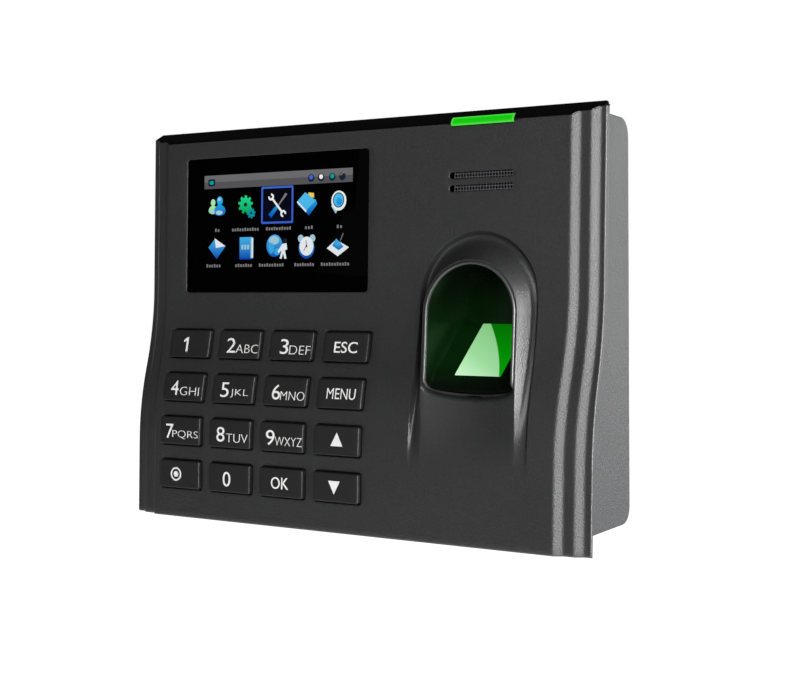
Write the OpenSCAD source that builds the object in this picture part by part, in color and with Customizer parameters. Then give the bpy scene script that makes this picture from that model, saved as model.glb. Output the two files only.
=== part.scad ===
// Wall-mounted fingerprint scanner terminal, in millimetres.
// The origin is the centre of the wall plate's back face. +Z is up and -Y is the front.

/* [Front cover] */
// Width of the front cover
cover_w = 184; // [182:0.5:188]
// Height of the front cover's lower edge below the origin
cover_low = 70; // [70:0.5:73]
// Distance from the wall to the upper part of the front face
front_depth = 32; // [32:0.5:34]
// How far the keypad part of the face stands in front of the upper part
step_depth = 7; // [6.5:0.25:7.5]
// Height where the face starts to sweep forward
sweep_top = 13; // [12:0.5:14]
// Height where the sweep ends
sweep_low = -43; // [-45:0.5:-42]
// Thickness of the front cover's plate
plate_t = 2.2; // [2:0.1:2.4]

/* [Display] */
// Width of the display window
window_w = 79.5; // [78:0.5:80]
// Height of the display window
window_h = 48.5; // [47:0.5:49]

/* [Keys] */
// Width of one key
key_w = 18.2; // [17:0.2:18.4]
// Height of one key
key_h = 9.8; // [9:0.2:10]
// How far a key stands out of the face
key_proud = 1.3; // [1.2:0.1:1.6]
// Travel of a key
key_travel = 1; // [0.5:0.1:1]

/* [Finger sensor] */
// Centre of the finger recess, across the cover
finger_x = 49.8; // [49:0.2:50.5]
// Half width of the recess inside its liner
finger_r = 15.6; // [15.2:0.1:15.6]
// Slope of the glass platen from the horizontal
platen_tilt = 41.6; // [40:0.2:42]
// Width of the glass platen
platen_w = 16.8; // [16:0.2:17.4]
// Length of the glass platen along its slope
platen_l = 25.2; // [24:0.2:25.4]

/* [Rear case] */
// Width of the rear case
case_w = 177.8; // [177:0.2:178]
// Top of the rear case
case_top = 67; // [66.5:0.25:67]
// Lower face of the rear case, below the origin
case_low = 62.5; // [62:0.25:62.5]
// Thickness of the rear case's walls
case_t = 2.4; // [2:0.1:2.4]

/* [Hidden] */
$fn = 48;

black = [0.09, 0.09, 0.1];
gloss = [0.02, 0.02, 0.025];
lit_green = [0.1, 0.85, 0.15];
board_green = [0.05, 0.28, 0.14];
steel = [0.62, 0.63, 0.65];
gap = 0.1;                        // clearance between pieces that only touch
half_w = cover_w / 2;
face_y = -front_depth;            // the upper face
low_face_y = face_y - step_depth; // the keypad face

// The sweep between the two faces is two equal tangent arcs.
sweep_angle = 2 * atan(step_depth / (sweep_top - sweep_low));
sweep_r = (sweep_top - sweep_low) / (2 * sin(sweep_angle));
sweep_mid = (sweep_top + sweep_low) / 2;
// Height of the face, or of the surface that lies d behind it
function surface_y(z, d = 0) = z >= sweep_top ? face_y + d
    : z >= sweep_mid - d * sin(sweep_angle)
        ? face_y - sweep_r + sqrt(pow(sweep_r + d, 2) - pow(sweep_top - z, 2))
    : z >= sweep_low ? low_face_y + sweep_r - sqrt(pow(sweep_r - d, 2) - pow(z - sweep_low, 2))
    : low_face_y + d;

// The cover's sides step back in two soft flutes and end in a small round at the rim.
rim_d = 7;          // depth of the rim's back, behind the face
flute_w = 3.5;      // width of one flute
flute_1 = 10.5;     // where the inner flute starts, from the rim
flute_2 = 4.8;      // where the outer flute starts, from the rim
flute_d1 = 1.9;     // depth of the inner flute
flute_d2 = 1.8;     // depth of the outer flute
rim_r = 0.8;        // round at the rim's edge
function smooth(t) = let (c = min(1, max(0, t))) c * c * (3 - 2 * c);
function flute(s) = flute_d1 * smooth((flute_1 - s) / flute_w)
    + flute_d2 * smooth((flute_2 - s) / flute_w)
    + (s < rim_r ? rim_r - sqrt(rim_r * rim_r - pow(rim_r - s, 2)) : 0);
flute_steps = [0, 0.2, 0.5, 0.8, 1.3, 1.9, 2.5, 3.1, 3.6, 4.2, 4.8, 7, 7.6, 8.2, 8.8, 9.3, 9.9, 10.5];
function front_outline(steps) = let (n = len(steps)) concat(
    [[steps[0] - half_w, rim_d]], [for (s = steps) [s - half_w, flute(s)]],
    [for (i = [n - 1:-1:0]) [half_w - steps[i], flute(steps[i])]],
    [[half_w - steps[0], rim_d]]);
cavity_x = case_w / 2 - case_t;
cavity_outline = [[-cavity_x, rim_d + 1], [-cavity_x, 5.6], [10 - half_w, plate_t],
                  [half_w - 10, plate_t], [cavity_x, 5.6], [cavity_x, rim_d + 1]];

// The top edge is a slope that the glossy trim covers.
slope_z = 66.3;                                   // the slope's front edge
slope_back_z = 70.4;                              // the slope's back edge
slope_angle = atan((slope_back_z - slope_z) / rim_d);
trim_t = 0.8;                                     // the trim's thickness
ceiling_t = 5.2;                                  // the cover's thickness under the slope
function slope_at(dy) = slope_z + dy * tan(slope_angle);

// Display window, keys, speaker slots and light bar
window_at = [-32.6, 35.6];
window_t = 1.5;
lcd_w = 66.5;       // the opening behind the glass
lcd_h = 40.5;
key_x0 = -77;       // left edge of the first column
key_z0 = -2.4;      // top edge of the first row
key_pitch_x = 22.8;
key_pitch_z = 15.7;
key_r = 0.6;
key_gap = 0.3;
flange_lip = 1;
flange_t = 1.1;
stem_r = 2.4;
mat_front = -29.1;  // where the mat's domes meet the keys
mat_t = 0.6;
pad_board_y = -27.4;
pad_board_t = 1.6;
pad_hole_from_key = [20.5, -12.75];  // a board screw's place, from a key's top left corner
pad_holes = [for (c = [0, 2], r = [0, 2])
    [key_x0 + c * key_pitch_x, key_z0 - r * key_pitch_z] + pad_hole_from_key];
slot_x = [39, 62.1];
slot_z = [44.9, 49.1];
slot_h = 2.2;
speaker_pos = [50.5, 47];
speaker_r = 10.5;
bar_mid = 50.5;     // middle of the light bar
bar_w = 23.2;

// Finger recess: an arch above, and a shallow arc below
arch_z = 4.4;
arc_z = -16.2;
arc_h = 6.8;
hood_r = 21.7;
hood_z = 9.3;
hood_lip = 1.6;
bezel_t = 1;
recess_back = -13;
ring_top_y = -37.2;
ring_low_y = -38.9;
ring_top_z = 21.6;
ring_low_z = -22;
ring_lean = atan((ring_top_y - ring_low_y) / (ring_top_z - ring_low_z));
cove_d = 2;         // depth of the cove round the hood
cove_lean = 10.7;   // slope that the cove runs out on
channel_r = 49.3;
channel_z = -22;    // where the channel is channel_y deep
channel_y = -36.4;
channel_lean = 6.9;
channel_top = -16.5;
platen_y = -22.55;  // the platen's centre
platen_z = -7.1;
module finger_outline(r, n = 20) {
    polygon(concat(
        [for (i = [0:n]) let (a = 180 * i / n) [r * cos(a), arch_z + r * sin(a)]],
        [for (i = [0:n]) let (a = 180 + 180 * i / n) [r * cos(a), arc_z + (arc_h + r - finger_r) * sin(a)]]));
}

// Rear case, boards and wall plate
case_y = 0.3;              // the case's back rim stands this far off the wall
recess_y = -2;             // floor of the recess for the wall plate
back_in_y = -4.2;          // inner face of the case's back wall
case_r = 5;                // round of the case's back edges
posts = [for (x = [-83, 83], z = [-55, 56]) [x, z]];
post_r = 3;
post_end = -10;
screw_r = 1.2;
board_y = -18;             // front face of the main board
board_t = 1.6;
board_back = board_y + board_t;
board_box = [[-79.5, -56], [30, 60]];
board_holes = [[-74, 54], [24, 54], [-74, -20], [26, 2]];
bay = [[-45, -50], [27, -10]];     // the connector bay
bay_t = 1.5;
usb_x = -60;
usb_size = [14.4, 7, 13.5];
tamper_pos = [-66, 10];
wall_plate_t = 1.5;
plate_box = [[-75, -58], [75, 50]];
plate_window = [[-42, -46], [24, -14]];
hook_x = [-58, 58];
hook_z = [-40, 32];
hook_w = 8;
hook_h = 7;
lift = 7;                  // the terminal lifts this far off the hooks
wall_hole_x = 60;
wall_hole_z = [-22, 22];
wall_hole_r = 2.25;
lock_y = -8;
flange_z = -case_low - 0.2;

// ---- helpers ----
// Extrudes a shape drawn in X and Z from y0 towards +Y.
module along_y(y0, length) {
    translate([0, y0 + length, 0]) rotate([90, 0, 0]) linear_extrude(length) children();
}
// Extrudes a shape drawn in Y and Z along X, centred on x.
module along_x(x, length) {
    translate([x, 0, 0]) rotate([90, 0, 90]) linear_extrude(length, center = true) children();
}
module rod_y(x, z, y0, y1, r) { translate([x, y1, z]) rotate([90, 0, 0]) cylinder(r = r, h = y1 - y0); }
module block(x, y, z) { translate([x[0], y[0], z[0]]) cube([x[1] - x[0], y[1] - y[0], z[1] - z[0]]); }
module box_between(low, high, y) { block([low[0], high[0]], y, [low[1], high[1]]); }
// A rectangle with round corners, from its low corner.
module round_square(low, size, r) translate(low) {
    for (x = [r, size[0] - r], z = [r, size[1] - r]) translate([x, z]) circle(r);
    translate([r, 0]) square([size[0] - 2 * r, size[1]]);
    translate([0, r]) square([size[0], size[1] - 2 * r]);
}
// A box centred in X and Z on the point c.
module block_at(c, w, y, h) { block([c[0] - w / 2, c[0] + w / 2], y, [c[1] - h / 2, c[1] + h / 2]); }
// Sweeps an outline of [x, depth behind the face] down the front face, exactly.
module face_sweep(points, z_low, z_top) {
    translate([0, 0, sweep_top]) linear_extrude(z_top - sweep_top)
        polygon([for (p = points) [p[0], face_y + p[1]]]);
    translate([0, 0, z_low]) linear_extrude(sweep_low - z_low)
        polygon([for (p = points) [p[0], low_face_y + p[1]]]);
    translate([0, face_y - sweep_r, sweep_top]) rotate([0, 90, 0])
        rotate_extrude(angle = sweep_angle, start = 90 - sweep_angle, $fn = 256)
            polygon([for (p = points) [sweep_r + p[1], p[0]]]);
    translate([0, low_face_y + sweep_r, sweep_low]) rotate([0, 90, 0])
        rotate_extrude(angle = sweep_angle, start = 270 - sweep_angle, $fn = 256)
            polygon([for (p = points) [sweep_r - p[1], p[0]]]);
}
// The half space above a plane that lies t below the top slope.
module above_slope(t) {
    translate([0, face_y, slope_z]) rotate([slope_angle, 0, 0])
        translate([-cover_w, -40, -t]) cube([2 * cover_w, 80, 30]);
}
// Puts its children in the platen's frame: X across, Y up the slope, Z out of the glass.
module on_platen() { translate([finger_x, platen_y, platen_z]) rotate([platen_tilt, 0, 0]) children(); }

// ---- front cover ----
module cover_body() {
    difference() {
        face_sweep(front_outline(flute_steps), -cover_low, slope_back_z + 2);
        above_slope(0);
    }
}
module cover_cavity() {
    difference() {
        face_sweep(cavity_outline, 2.5 - cover_low, slope_back_z);
        above_slope(ceiling_t);
        // the ledge that the rear case's lower edge meets
        block([-half_w, half_w], [low_face_y + 4.8, 0], [-cover_low, case_t - case_low]);
        for (p = posts) rod_y(p[0], p[1], -45, 0, post_r);
        for (p = pad_holes) rod_y(p[0], p[1], -45, pad_board_y - gap, 1.9);
        for (p = lcd_posts) rod_y(p[0], p[1], -45, lcd_back_y, 2.4);
    }
}
lcd_y = face_y + plate_t + gap;                 // front of the display module
lcd_t = 3.2;
lcd_back_y = lcd_y + lcd_t;
lcd_post_z = [19, 52];
lcd_posts = [for (x = [-75.8, 10.6], z = lcd_post_z) [x, z]];
bracket_back_y = lcd_back_y + 0.8;
ear_r = 3.6;        // round of the bracket's ears
module hood_outline(r) {
    translate([finger_x, hood_z]) circle(r, $fn = 32);
    translate([finger_x - r, sweep_low]) square([2 * r, hood_z - sweep_low]);
}
// Leans its children into the plane of the ring round the recess.
module ring_plane() {
    translate([0, ring_low_y, ring_low_z]) rotate([-ring_lean, 0, 0])
        translate([0, 0, -ring_low_z]) children();
}
// The raised hood round the finger recess, which rises out of a shallow cove
module hood() hull() {
    along_y(face_y + cove_d, 0.5) hood_outline(hood_r - 0.6);
    ring_plane() along_y(0, 0.5) translate([finger_x, 0]) finger_outline(finger_r + hood_lip, 12);
    block_at([finger_x, sweep_low + 0.5], 2 * (finger_r + hood_lip), [low_face_y + 0.1, low_face_y + 1], 1);
}
module hood_backing() intersection() {
    along_y(-45, 30) hood_outline(hood_r + 1.5);
    face_sweep([[20, 1], [80, 1], [80, 4.2], [20, 4.2]], sweep_low - 2, 40);
}
module hood_cove() intersection() {
    along_y(-45, 30) hood_outline(hood_r);
    face_sweep([[20, -9], [80, -9], [80, cove_d], [20, cove_d]], sweep_low - 2, 40);
    translate([0, low_face_y, sweep_low]) rotate([-cove_lean, 0, 0])
        translate([0, -30, -1]) cube([90, 30, 90]);
}
// The groove that guides a finger down out of the recess
module finger_channel() intersection() {
    translate([finger_x, channel_y - channel_r, channel_z]) rotate([-channel_lean, 0, 0])
        translate([0, 0, -40]) cylinder(r = channel_r, h = 80, $fn = 64);
    block([finger_x - 20, finger_x + 20], [-60, -30], [-60, channel_top]);
}
module front_cover() color(black) difference() {
    union() {
        difference() { cover_body(); cover_cavity(); hood_cove(); }
        difference() { hood_backing(); hood_cove(); }
        hood();
        for (p = posts) rod_y(p[0], p[1], surface_y(p[1]) + 5, post_end, post_r);
    }
    above_slope(trim_t);
    finger_channel();
    block_at(window_at, window_w, [face_y - 1, face_y + window_t], window_h);
    block_at(window_at, lcd_w, [face_y, face_y + 4], lcd_h);
    for (c = [0:3], r = [0:3]) along_y(-45, 20) key_outline(c, r, key_gap);
    for (z = slot_z) along_y(face_y - 1, 4) slot_outline(z);
    along_y(-42, 31) translate([finger_x, 0]) finger_outline(finger_r + bezel_t + gap);
    along_x(bar_mid, bar_w + 2 * gap) light_bar_outline(gap);
    for (p = posts) rod_y(p[0], p[1], post_end - 10, post_end + 1, screw_r + 0.05);
    for (p = pad_holes) rod_y(p[0], p[1], pad_board_y - 4, pad_board_y, 0.85);
    for (p = lcd_posts) rod_y(p[0], p[1], lcd_back_y - 3.4, lcd_back_y + 1, 0.95);
}
module slot_outline(z) {
    for (x = [slot_x[0] + slot_h / 2, slot_x[1] - slot_h / 2]) translate([x, z]) circle(slot_h / 2);
    translate([slot_x[0] + slot_h / 2, z - slot_h / 2]) square([slot_x[1] - slot_x[0] - slot_h, slot_h]);
}
module top_trim() color(gloss) difference() {
    intersection() {
        translate([0, face_y, 0]) linear_extrude(slope_back_z + 2)
            polygon(front_outline([0.8, 1.3, 2.2, 3, 3.9, 4.8, 7, 8.2, 9.4, 10.5]));
        above_slope(trim_t - gap / 2);
    }
    above_slope(0);
    along_x(bar_mid, bar_w + 2 * gap) light_bar_outline(gap);
}
module light_bar_outline(g) {
    bar_back = 3.8;
    stem_y = [2.6, 5.2];
    bar_low = 65.2;
    stem_low = 61;
    polygon([[face_y - 0.15 - g, bar_low - g], [face_y - 0.15 - g, slope_z + 0.1 + g],
             [face_y + bar_back + g, slope_at(bar_back) + 0.15 + g],
             [face_y + stem_y[1] + g, slope_at(bar_back) - 1.5],
             [face_y + stem_y[1] + g, stem_low - g], [face_y + stem_y[0] - g, stem_low - g],
             [face_y + stem_y[0] - g, bar_low - g]]);
}
module status_light_bar() color(lit_green)
    along_x(bar_mid, bar_w) light_bar_outline(0);
module display_window() color(gloss)
    block_at(window_at, window_w - 2 * gap, [face_y + 0.05, face_y + window_t], window_h - 2 * gap);
mesh_t = 0.4;
module speaker_mesh() color("dimgray")
    block([slot_x[0] - 1.5, slot_x[1] + 1.5], [lcd_y, lcd_y + mesh_t], [slot_z[0] - 3, slot_z[1] + 3]);

// ---- finger sensor ----
module ring_front(lead) { ring_plane() translate([0, -10 - lead, ring_low_z - 10]) cube([100, 10, 60]); }
module below_platen(t) { on_platen() translate([-40, -60, -60 - t]) cube([80, 120, 60]); }
module sensor_bezel() color(gloss) difference() {
    along_y(-42, 42 + recess_back + 1.6) translate([finger_x, 0]) finger_outline(finger_r + bezel_t);
    ring_front(0.5);
    finger_channel();
    difference() {
        along_y(-43, 43 + recess_back) translate([finger_x, 0]) finger_outline(finger_r);
        below_platen(0.3);
    }
    difference() {
        below_platen(1.9);
        block([0, 90], [-60, -35], [-60, 60]);
    }
    on_platen() cube([platen_w + 2 * gap, platen_l + 2 * gap, 10], center = true);
}
prism_h = 9;
prism_low_l = 15;
module sensor_prism() color([0.35, 0.9, 0.4, 0.6]) on_platen() rotate([90, 0, 90])
    linear_extrude(platen_w, center = true)
        polygon([[-platen_l / 2, 0], [platen_l / 2, 0], [platen_l / 2, -2.2],
                 [prism_low_l / 2, -prism_h], [-prism_low_l / 2, -prism_h], [-platen_l / 2, -2.2]]);
housing_u = [-14.5, 15];
housing_w = [-12, -2];
led_x = [-6, -2, 2, 6];
module sensor_housing() color("dimgray") on_platen() difference() {
    rotate([90, 0, 90]) linear_extrude(25, center = true)
        polygon([[housing_u[0], housing_w[1]], [housing_u[1], housing_w[1]], [housing_u[1], housing_w[0] + 3],
                 [housing_u[1] - 3, housing_w[0]], [housing_u[0], housing_w[0]]]);
    translate([0, 0, -prism_h - 0.15]) linear_extrude(prism_h + 1)
        square([platen_w + 0.3, platen_l + 0.3], center = true);
    translate([0, 0, housing_w[0] - 1]) cylinder(r = 4.1, h = 8);
    for (x = led_x) rod_y(x, -5, platen_l / 2, housing_u[1] + 1, 1.55);
}
module sensor_lens() color("black") on_platen() translate([0, 0, housing_w[0]]) cylinder(r = 4, h = 2.6);
module sensor_camera_board() color(board_green) on_platen() {
    block([-11, 11], [-10, 6], [housing_w[0] - 1.3, housing_w[0] - gap]);
}
module sensor_leds() color(lit_green) on_platen()
    for (x = led_x) rod_y(x, -5, platen_l / 2 + 0.4, housing_u[1], 1.5);
module sensor_led_board() color(board_green) on_platen()
    block([-10, 10], [housing_u[1] + 0.05, housing_u[1] + 1.2], [-8, -2.2]);
module sensor_cable() color("gainsboro") {
    z = -21;
    block([27, 30.8], [board_y - 0.5, board_y - 0.1], [z - 4, z + 4]);
    hull() {
        block([30.8, 31], [board_y - 0.5, board_y - 0.1], [z - 4, z + 4]);
        block([36.4, 36.6], [-14.3, -13.9], [z - 4, z + 4]);
    }
    hull() {
        block([36.4, 36.6], [-14.3, -13.9], [z - 4, z + 4]);
        on_platen() block([-12.2, -11.1], [-5, 3], [-13.1, -12.7]);
    }
}

// ---- display ----
module lcd_panel() color("silver") block_at(window_at, 73, [lcd_y, lcd_back_y - gap], 46);
module lcd_bracket() color(steel) difference() {
    union() {
        block_at(window_at, 76, [lcd_back_y, bracket_back_y], 48);
        for (p = lcd_posts) rod_y(p[0], p[1], lcd_back_y + 0.05, bracket_back_y, ear_r);
        for (z = lcd_post_z)
            block_at([window_at[0], z], lcd_posts[3][0] - lcd_posts[0][0],
                     [lcd_back_y + 0.05, bracket_back_y], 2 * ear_r);
    }
    block_at(window_at, 56, [lcd_back_y - 1, lcd_back_y + 2], 30);
    for (p = lcd_posts) rod_y(p[0], p[1], lcd_back_y - 1, lcd_back_y + 2, 1.2);
}
module small_screw(x, z, y, length, r) {
    rod_y(x, z, y, y + 1.3, 2);
    rod_y(x, z, y - length, y + 0.1, r);
}
module lcd_screws() color(steel) for (p = lcd_posts) small_screw(p[0], p[1], bracket_back_y, 3.6, 0.9);
module lcd_ribbon() color("sandybrown") {
    block([-50, -26], [-27.8, -27.6], [5, 12.5]);
    block([-50, -26], [-27.6, board_y - 1.9], [5, 5.2]);
    block([-52, -24], [board_y - 1.9, board_y], [3.4, 7.2]);
}

// ---- keypad ----
function key_left(c) = key_x0 + c * key_pitch_x;
function key_top(r) = key_z0 - r * key_pitch_z;
module key_outline(c, r, g)
    round_square([key_left(c) - g, key_top(r) - key_h - g], [key_w + 2 * g, key_h + 2 * g], key_r);
// A cap whose top follows the face, with a flange that keeps it in and a stem down to the mat
module keycap(c, r) {
    flange_y = surface_y(key_top(r) + flange_lip) + plate_t + 0.25;
    color([0.06, 0.06, 0.065]) {
        intersection() {
            along_y(-45, 45 + flange_y + flange_t) key_outline(c, r, 0);
            face_sweep([[key_left(c) - 1, -key_proud], [key_left(c) + key_w + 1, -key_proud],
                        [key_left(c) + key_w + 1, 20], [key_left(c) - 1, 20]], -65, 20);
        }
        along_y(flange_y, flange_t) key_outline(c, r, flange_lip);
        rod_y(key_left(c) + key_w / 2, key_top(r) - key_h / 2, flange_y, mat_front - 0.02, stem_r);
    }
}
module keypad_mat() color([0.25, 0.25, 0.27]) difference() {
    union() {
        box_between([key_x0 - 1.5, -59.7], [14, -1], [pad_board_y - mat_t, pad_board_y]);
        for (c = [0:3], r = [0:3])
            translate([key_left(c) + key_w / 2, pad_board_y - mat_t, key_top(r) - key_h / 2])
                rotate([90, 0, 0]) cylinder(r1 = 3.9, r2 = 2.7, h = pad_board_y - mat_t - mat_front);
    }
    for (c = [0:3], r = [0:3])
        translate([key_left(c) + key_w / 2, pad_board_y + 0.1, key_top(r) - key_h / 2])
            rotate([90, 0, 0]) cylinder(r1 = 3.2, r2 = 2, h = 1.1);
    for (p = pad_holes) rod_y(p[0], p[1], -30, -26, 2.2);
}
module keypad_board() color(board_green) difference() {
    box_between([-79, -60], [16, -1], [pad_board_y, pad_board_y + pad_board_t]);
    for (p = pad_holes) rod_y(p[0], p[1], -30, -20, 1.1);
}
module keypad_screws() color(steel)
    for (p = pad_holes) small_screw(p[0], p[1], pad_board_y + pad_board_t, 5, 0.8);
module board_connector() color("ivory")
    block([-14, 8], [pad_board_y + pad_board_t, board_y], [-8, -3]);

// ---- main board and what it carries ----
module main_board() color(board_green) difference() {
    box_between(board_box[0], board_box[1], [board_y, board_back]);
    for (p = board_holes) rod_y(p[0], p[1], board_y - 1, board_back + 1, 1.6);
}
module main_board_screws() color(steel)
    for (p = board_holes) {
        rod_y(p[0], p[1], board_y - 1.8, board_y, 2.6);
        rod_y(p[0], p[1], board_y - 0.1, board_y + 8, screw_r);
    }
module processor_chips() color([0.1, 0.1, 0.1]) {
    block([-30, -12], [board_y - 1.4, board_y], [24, 42]);
    block([-4, 8], [board_y - 1.1, board_y], [26, 34]);
    block([-4, 8], [board_y - 1.1, board_y], [38, 46]);
    block([-60, -50], [board_y - 1.2, board_y], [20, 27]);
    block([-62, -48], [board_y - 1.2, board_y], [36, 44]);
}
module backup_battery() color(steel) rod_y(-40, 38, board_back, board_back + 4.6, 10.4);
module buzzer() color("black") difference() {
    rod_y(2, 44, board_back, board_back + 6, 6);
    rod_y(2, 44, board_back + 3, board_back + 7, 1.2);
}
speaker_y = lcd_y + mesh_t + 0.05;
module speaker() color([0.2, 0.2, 0.22]) {
    rod_y(speaker_pos[0], speaker_pos[1], speaker_y, speaker_y + 2.4, speaker_r);
    rod_y(speaker_pos[0], speaker_pos[1], speaker_y + 2.3, speaker_y + 5.8, 6.4);
}
module wire(points, r) {
    for (i = [0:len(points) - 2]) hull() {
        translate(points[i]) sphere(r, $fn = 14);
        translate(points[i + 1]) sphere(r, $fn = 14);
    }
}
module speaker_wires() color("firebrick") for (dz = [0, 2])
    wire([[44, speaker_y + 3.2, 52 + dz], [34, -24, 50 + dz], [27.5, board_y - 1, 48 + dz]], 0.5);
module status_led_board() color(board_green) block([37, 64], [-29.2, -24.2], [57.9, 59.3]);
module status_leds() color("white") for (dx = [-6.5, 0, 6.5])
    block_at([bar_mid + dx, 60], 2.8, [-29, -27], 1.4);

// ---- connectors ----
module network_jack() color(steel) difference() {
    block([-10, 6], [board_back, -2.9], [-26.6, -10.6]);
    block([-7.9, 3.9], [-14, -6], [-27, -14.6]);
    block([-5, 1], [-6.1, -4.4], [-27, -14.6]);
}
module power_jack() color([0.1, 0.1, 0.1]) {
    difference() {
        block([13, 22], [board_back, -5.3], [-24.6, -10.6]);
        translate([17.5, -10.6, -25]) cylinder(r = 3, h = 10);
    }
    translate([17.5, -10.6, -23.6]) cylinder(r = 1, h = 10);
}
module wiring_block() color("seagreen") difference() {
    block([-42, -16], [board_back, -6.4], [-22.6, -10.6]);
    for (i = [0:4]) translate([-39.4 + 5.2 * i, -12, -23]) cylinder(r = 1.4, h = 8);
    for (i = [0:4]) rod_y(-39.4 + 5.2 * i, -16, -8.4, -6, 1.7);
}
module usb_port() color(steel) {
    y0 = board_back;
    z0 = -case_low + 0.3;
    difference() {
        block_at([usb_x, z0 + usb_size[2] / 2], usb_size[0], [y0, y0 + usb_size[1]], usb_size[2]);
        block([usb_x - 6.3, usb_x + 6.3], [y0 + 1, y0 + 6.1], [z0 - 1, z0 + usb_size[2] - 3]);
    }
    block([usb_x - 5.6, usb_x + 5.6], [y0 + 1.2, y0 + 2.9], [z0 + 1, z0 + usb_size[2] - 2.9]);
}

// ---- rear case ----
function arc(c, r, a0, a1, n) = [for (i = [0:n]) let (a = a0 + (a1 - a0) * i / n) c + r * [cos(a), sin(a)]];
front_edge_steps = 28;
// Side view of the case, grown inwards by t, with its front edge d behind the face
module case_outline(t, d, back) {
    polygon(concat(
        [[face_y + d, case_top - t]],
        [for (i = [0:front_edge_steps])
            let (z = sweep_top + (sweep_low - sweep_top) * i / front_edge_steps) [surface_y(z, d), z]],
        [[low_face_y + d, t - case_low]],
        arc([back - case_r, t - case_low + case_r], case_r, 270, 360, 6),
        arc([back - case_r, case_top - t - case_r], case_r, 0, 90, 6)));
}
module rear_case() color(black) difference() {
    union() {
        difference() {
            along_x(0, case_w) case_outline(0, rim_d + gap, -case_y);
            along_x(0, case_w - 2 * case_t) case_outline(case_t, rim_d - 5, back_in_y);
        }
        box_between(bay[0] - [bay_t, bay_t], bay[1] + [bay_t, bay_t], [board_back + 0.15, back_in_y + 0.5]);
        for (p = posts) rod_y(p[0], p[1], post_end + gap, back_in_y + 0.5, post_r + 1.2);
        for (p = board_holes) rod_y(p[0], p[1], board_back + 0.02, back_in_y + 0.5, 3);
        intersection() {
            translate([0, lock_y, -case_low + 0.5]) cylinder(r = 5, h = 7);
            block([-9, 9], [-20, back_in_y + 0.3], [-70, -50]);
        }
    }
    // recess for the wall plate, open below
    block([-77, 77], [recess_y, 1], [-case_low - 1, 52]);
    box_between(bay[0], bay[1], [-40, 1]);
    // slots for the hooks, tall enough for the terminal to lift off them
    for (x = hook_x, z = hook_z)
        block([x - hook_w / 2 - 0.4, x + hook_w / 2 + 0.4], [-8, 0],
              [z - lift - 0.3, z + wall_plate_t + gap]);
    for (p = posts) {
        rod_y(p[0], p[1], post_end - 1, 1, screw_r + 0.4);
        rod_y(p[0], p[1], post_end + 2.4, 1, 3.1);
    }
    for (p = board_holes) rod_y(p[0], p[1], board_back - 1, board_back + 8, screw_r + 0.05);
    rod_y(tamper_pos[0], tamper_pos[1], -8, 0, 1.9);
    translate([0, lock_y, -case_low - 1]) cylinder(r = 1.75, h = 12);
    translate([0, lock_y, -case_low + 1.2]) cylinder(r = 2.6, h = 7);
    block([usb_x - 7.4, usb_x + 7.4], [board_back - 0.2, board_back + 7.2], [-case_low - 1, -case_low + 4]);
}
module lock_insert() color("goldenrod") translate([0, lock_y, -case_low + 1.25]) difference() {
    cylinder(r = 2.58, h = 6);
    translate([0, 0, -1]) cylinder(r = 1.6, h = 8);
}
module case_screws() color(steel) for (p = posts) {
    rod_y(p[0], p[1], post_end + 2.4, post_end + 4.4, 2.8);
    rod_y(p[0], p[1], post_end - 8, post_end + 2.5, screw_r);
}
module tamper_switch() color([0.1, 0.1, 0.1]) difference() {
    translate([tamper_pos[0], 0, tamper_pos[1]]) block([-3.2, 3.2], [board_back, -9.5], [-3.2, 3.2]);
    rod_y(tamper_pos[0], tamper_pos[1], -15, -9, 1.65);
}
module tamper_plunger() color("white") rod_y(tamper_pos[0], tamper_pos[1], -13, -wall_plate_t - gap, 1.6);

// ---- wall plate ----
module wall_plate() color(steel) difference() {
    union() {
        along_y(-wall_plate_t, wall_plate_t) difference() {
            round_square(plate_box[0], plate_box[1] - plate_box[0], 4);
            translate(plate_window[0]) square(plate_window[1] - plate_window[0]);
            // the lanced openings that the hooks are bent out of
            for (x = hook_x, z = hook_z)
                translate([x - hook_w / 2 - 0.5, z + wall_plate_t]) square([hook_w + 1, hook_h + 3]);
        }
        for (x = hook_x, z = hook_z) {
            block([x - hook_w / 2, x + hook_w / 2], [-5.9, 0], [z, z + wall_plate_t]);
            block([x - hook_w / 2, x + hook_w / 2], [-5.9, -4.4], [z, z + hook_h]);
        }
        block([-12, 12], [-wall_plate_t, 0], [flange_z - wall_plate_t, -50]);
        block([-12, 12], [-14, 0], [flange_z - wall_plate_t, flange_z]);
    }
    for (x = [-wall_hole_x, wall_hole_x], z = wall_hole_z) rod_y(x, z, -3, 1, wall_hole_r);
    translate([0, lock_y, flange_z - 3]) cylinder(r = 1.75, h = 6);
}
module lock_screw() color(steel) translate([0, lock_y, flange_z - wall_plate_t]) {
    translate([0, 0, -2.4]) cylinder(r = 2.9, h = 2.4);
    translate([0, 0, -0.1]) cylinder(r = 1.55, h = 7.6);
}

front_cover();
top_trim();
status_light_bar();
display_window();
speaker_mesh();
sensor_bezel();
sensor_prism();
sensor_housing();
sensor_lens();
sensor_camera_board();
sensor_leds();
sensor_led_board();
sensor_cable();
lcd_panel();
lcd_bracket();
lcd_screws();
lcd_ribbon();
keypad_mat();
keypad_board();
keypad_screws();
board_connector();
main_board();
main_board_screws();
processor_chips();
backup_battery();
buzzer();
speaker();
speaker_wires();
status_led_board();
status_leds();
network_jack();
power_jack();
wiring_block();
usb_port();
rear_case();
case_screws();
tamper_switch();
tamper_plunger();
lock_insert();
lock_screw();
wall_plate();
keycap(0, 0);  // key_1
keycap(1, 0);  // key_2
keycap(2, 0);  // key_3
keycap(3, 0);  // key_esc
keycap(0, 1);  // key_4
keycap(1, 1);  // key_5
keycap(2, 1);  // key_6
keycap(3, 1);  // key_menu
keycap(0, 2);  // key_7
keycap(1, 2);  // key_8
keycap(2, 2);  // key_9
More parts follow.
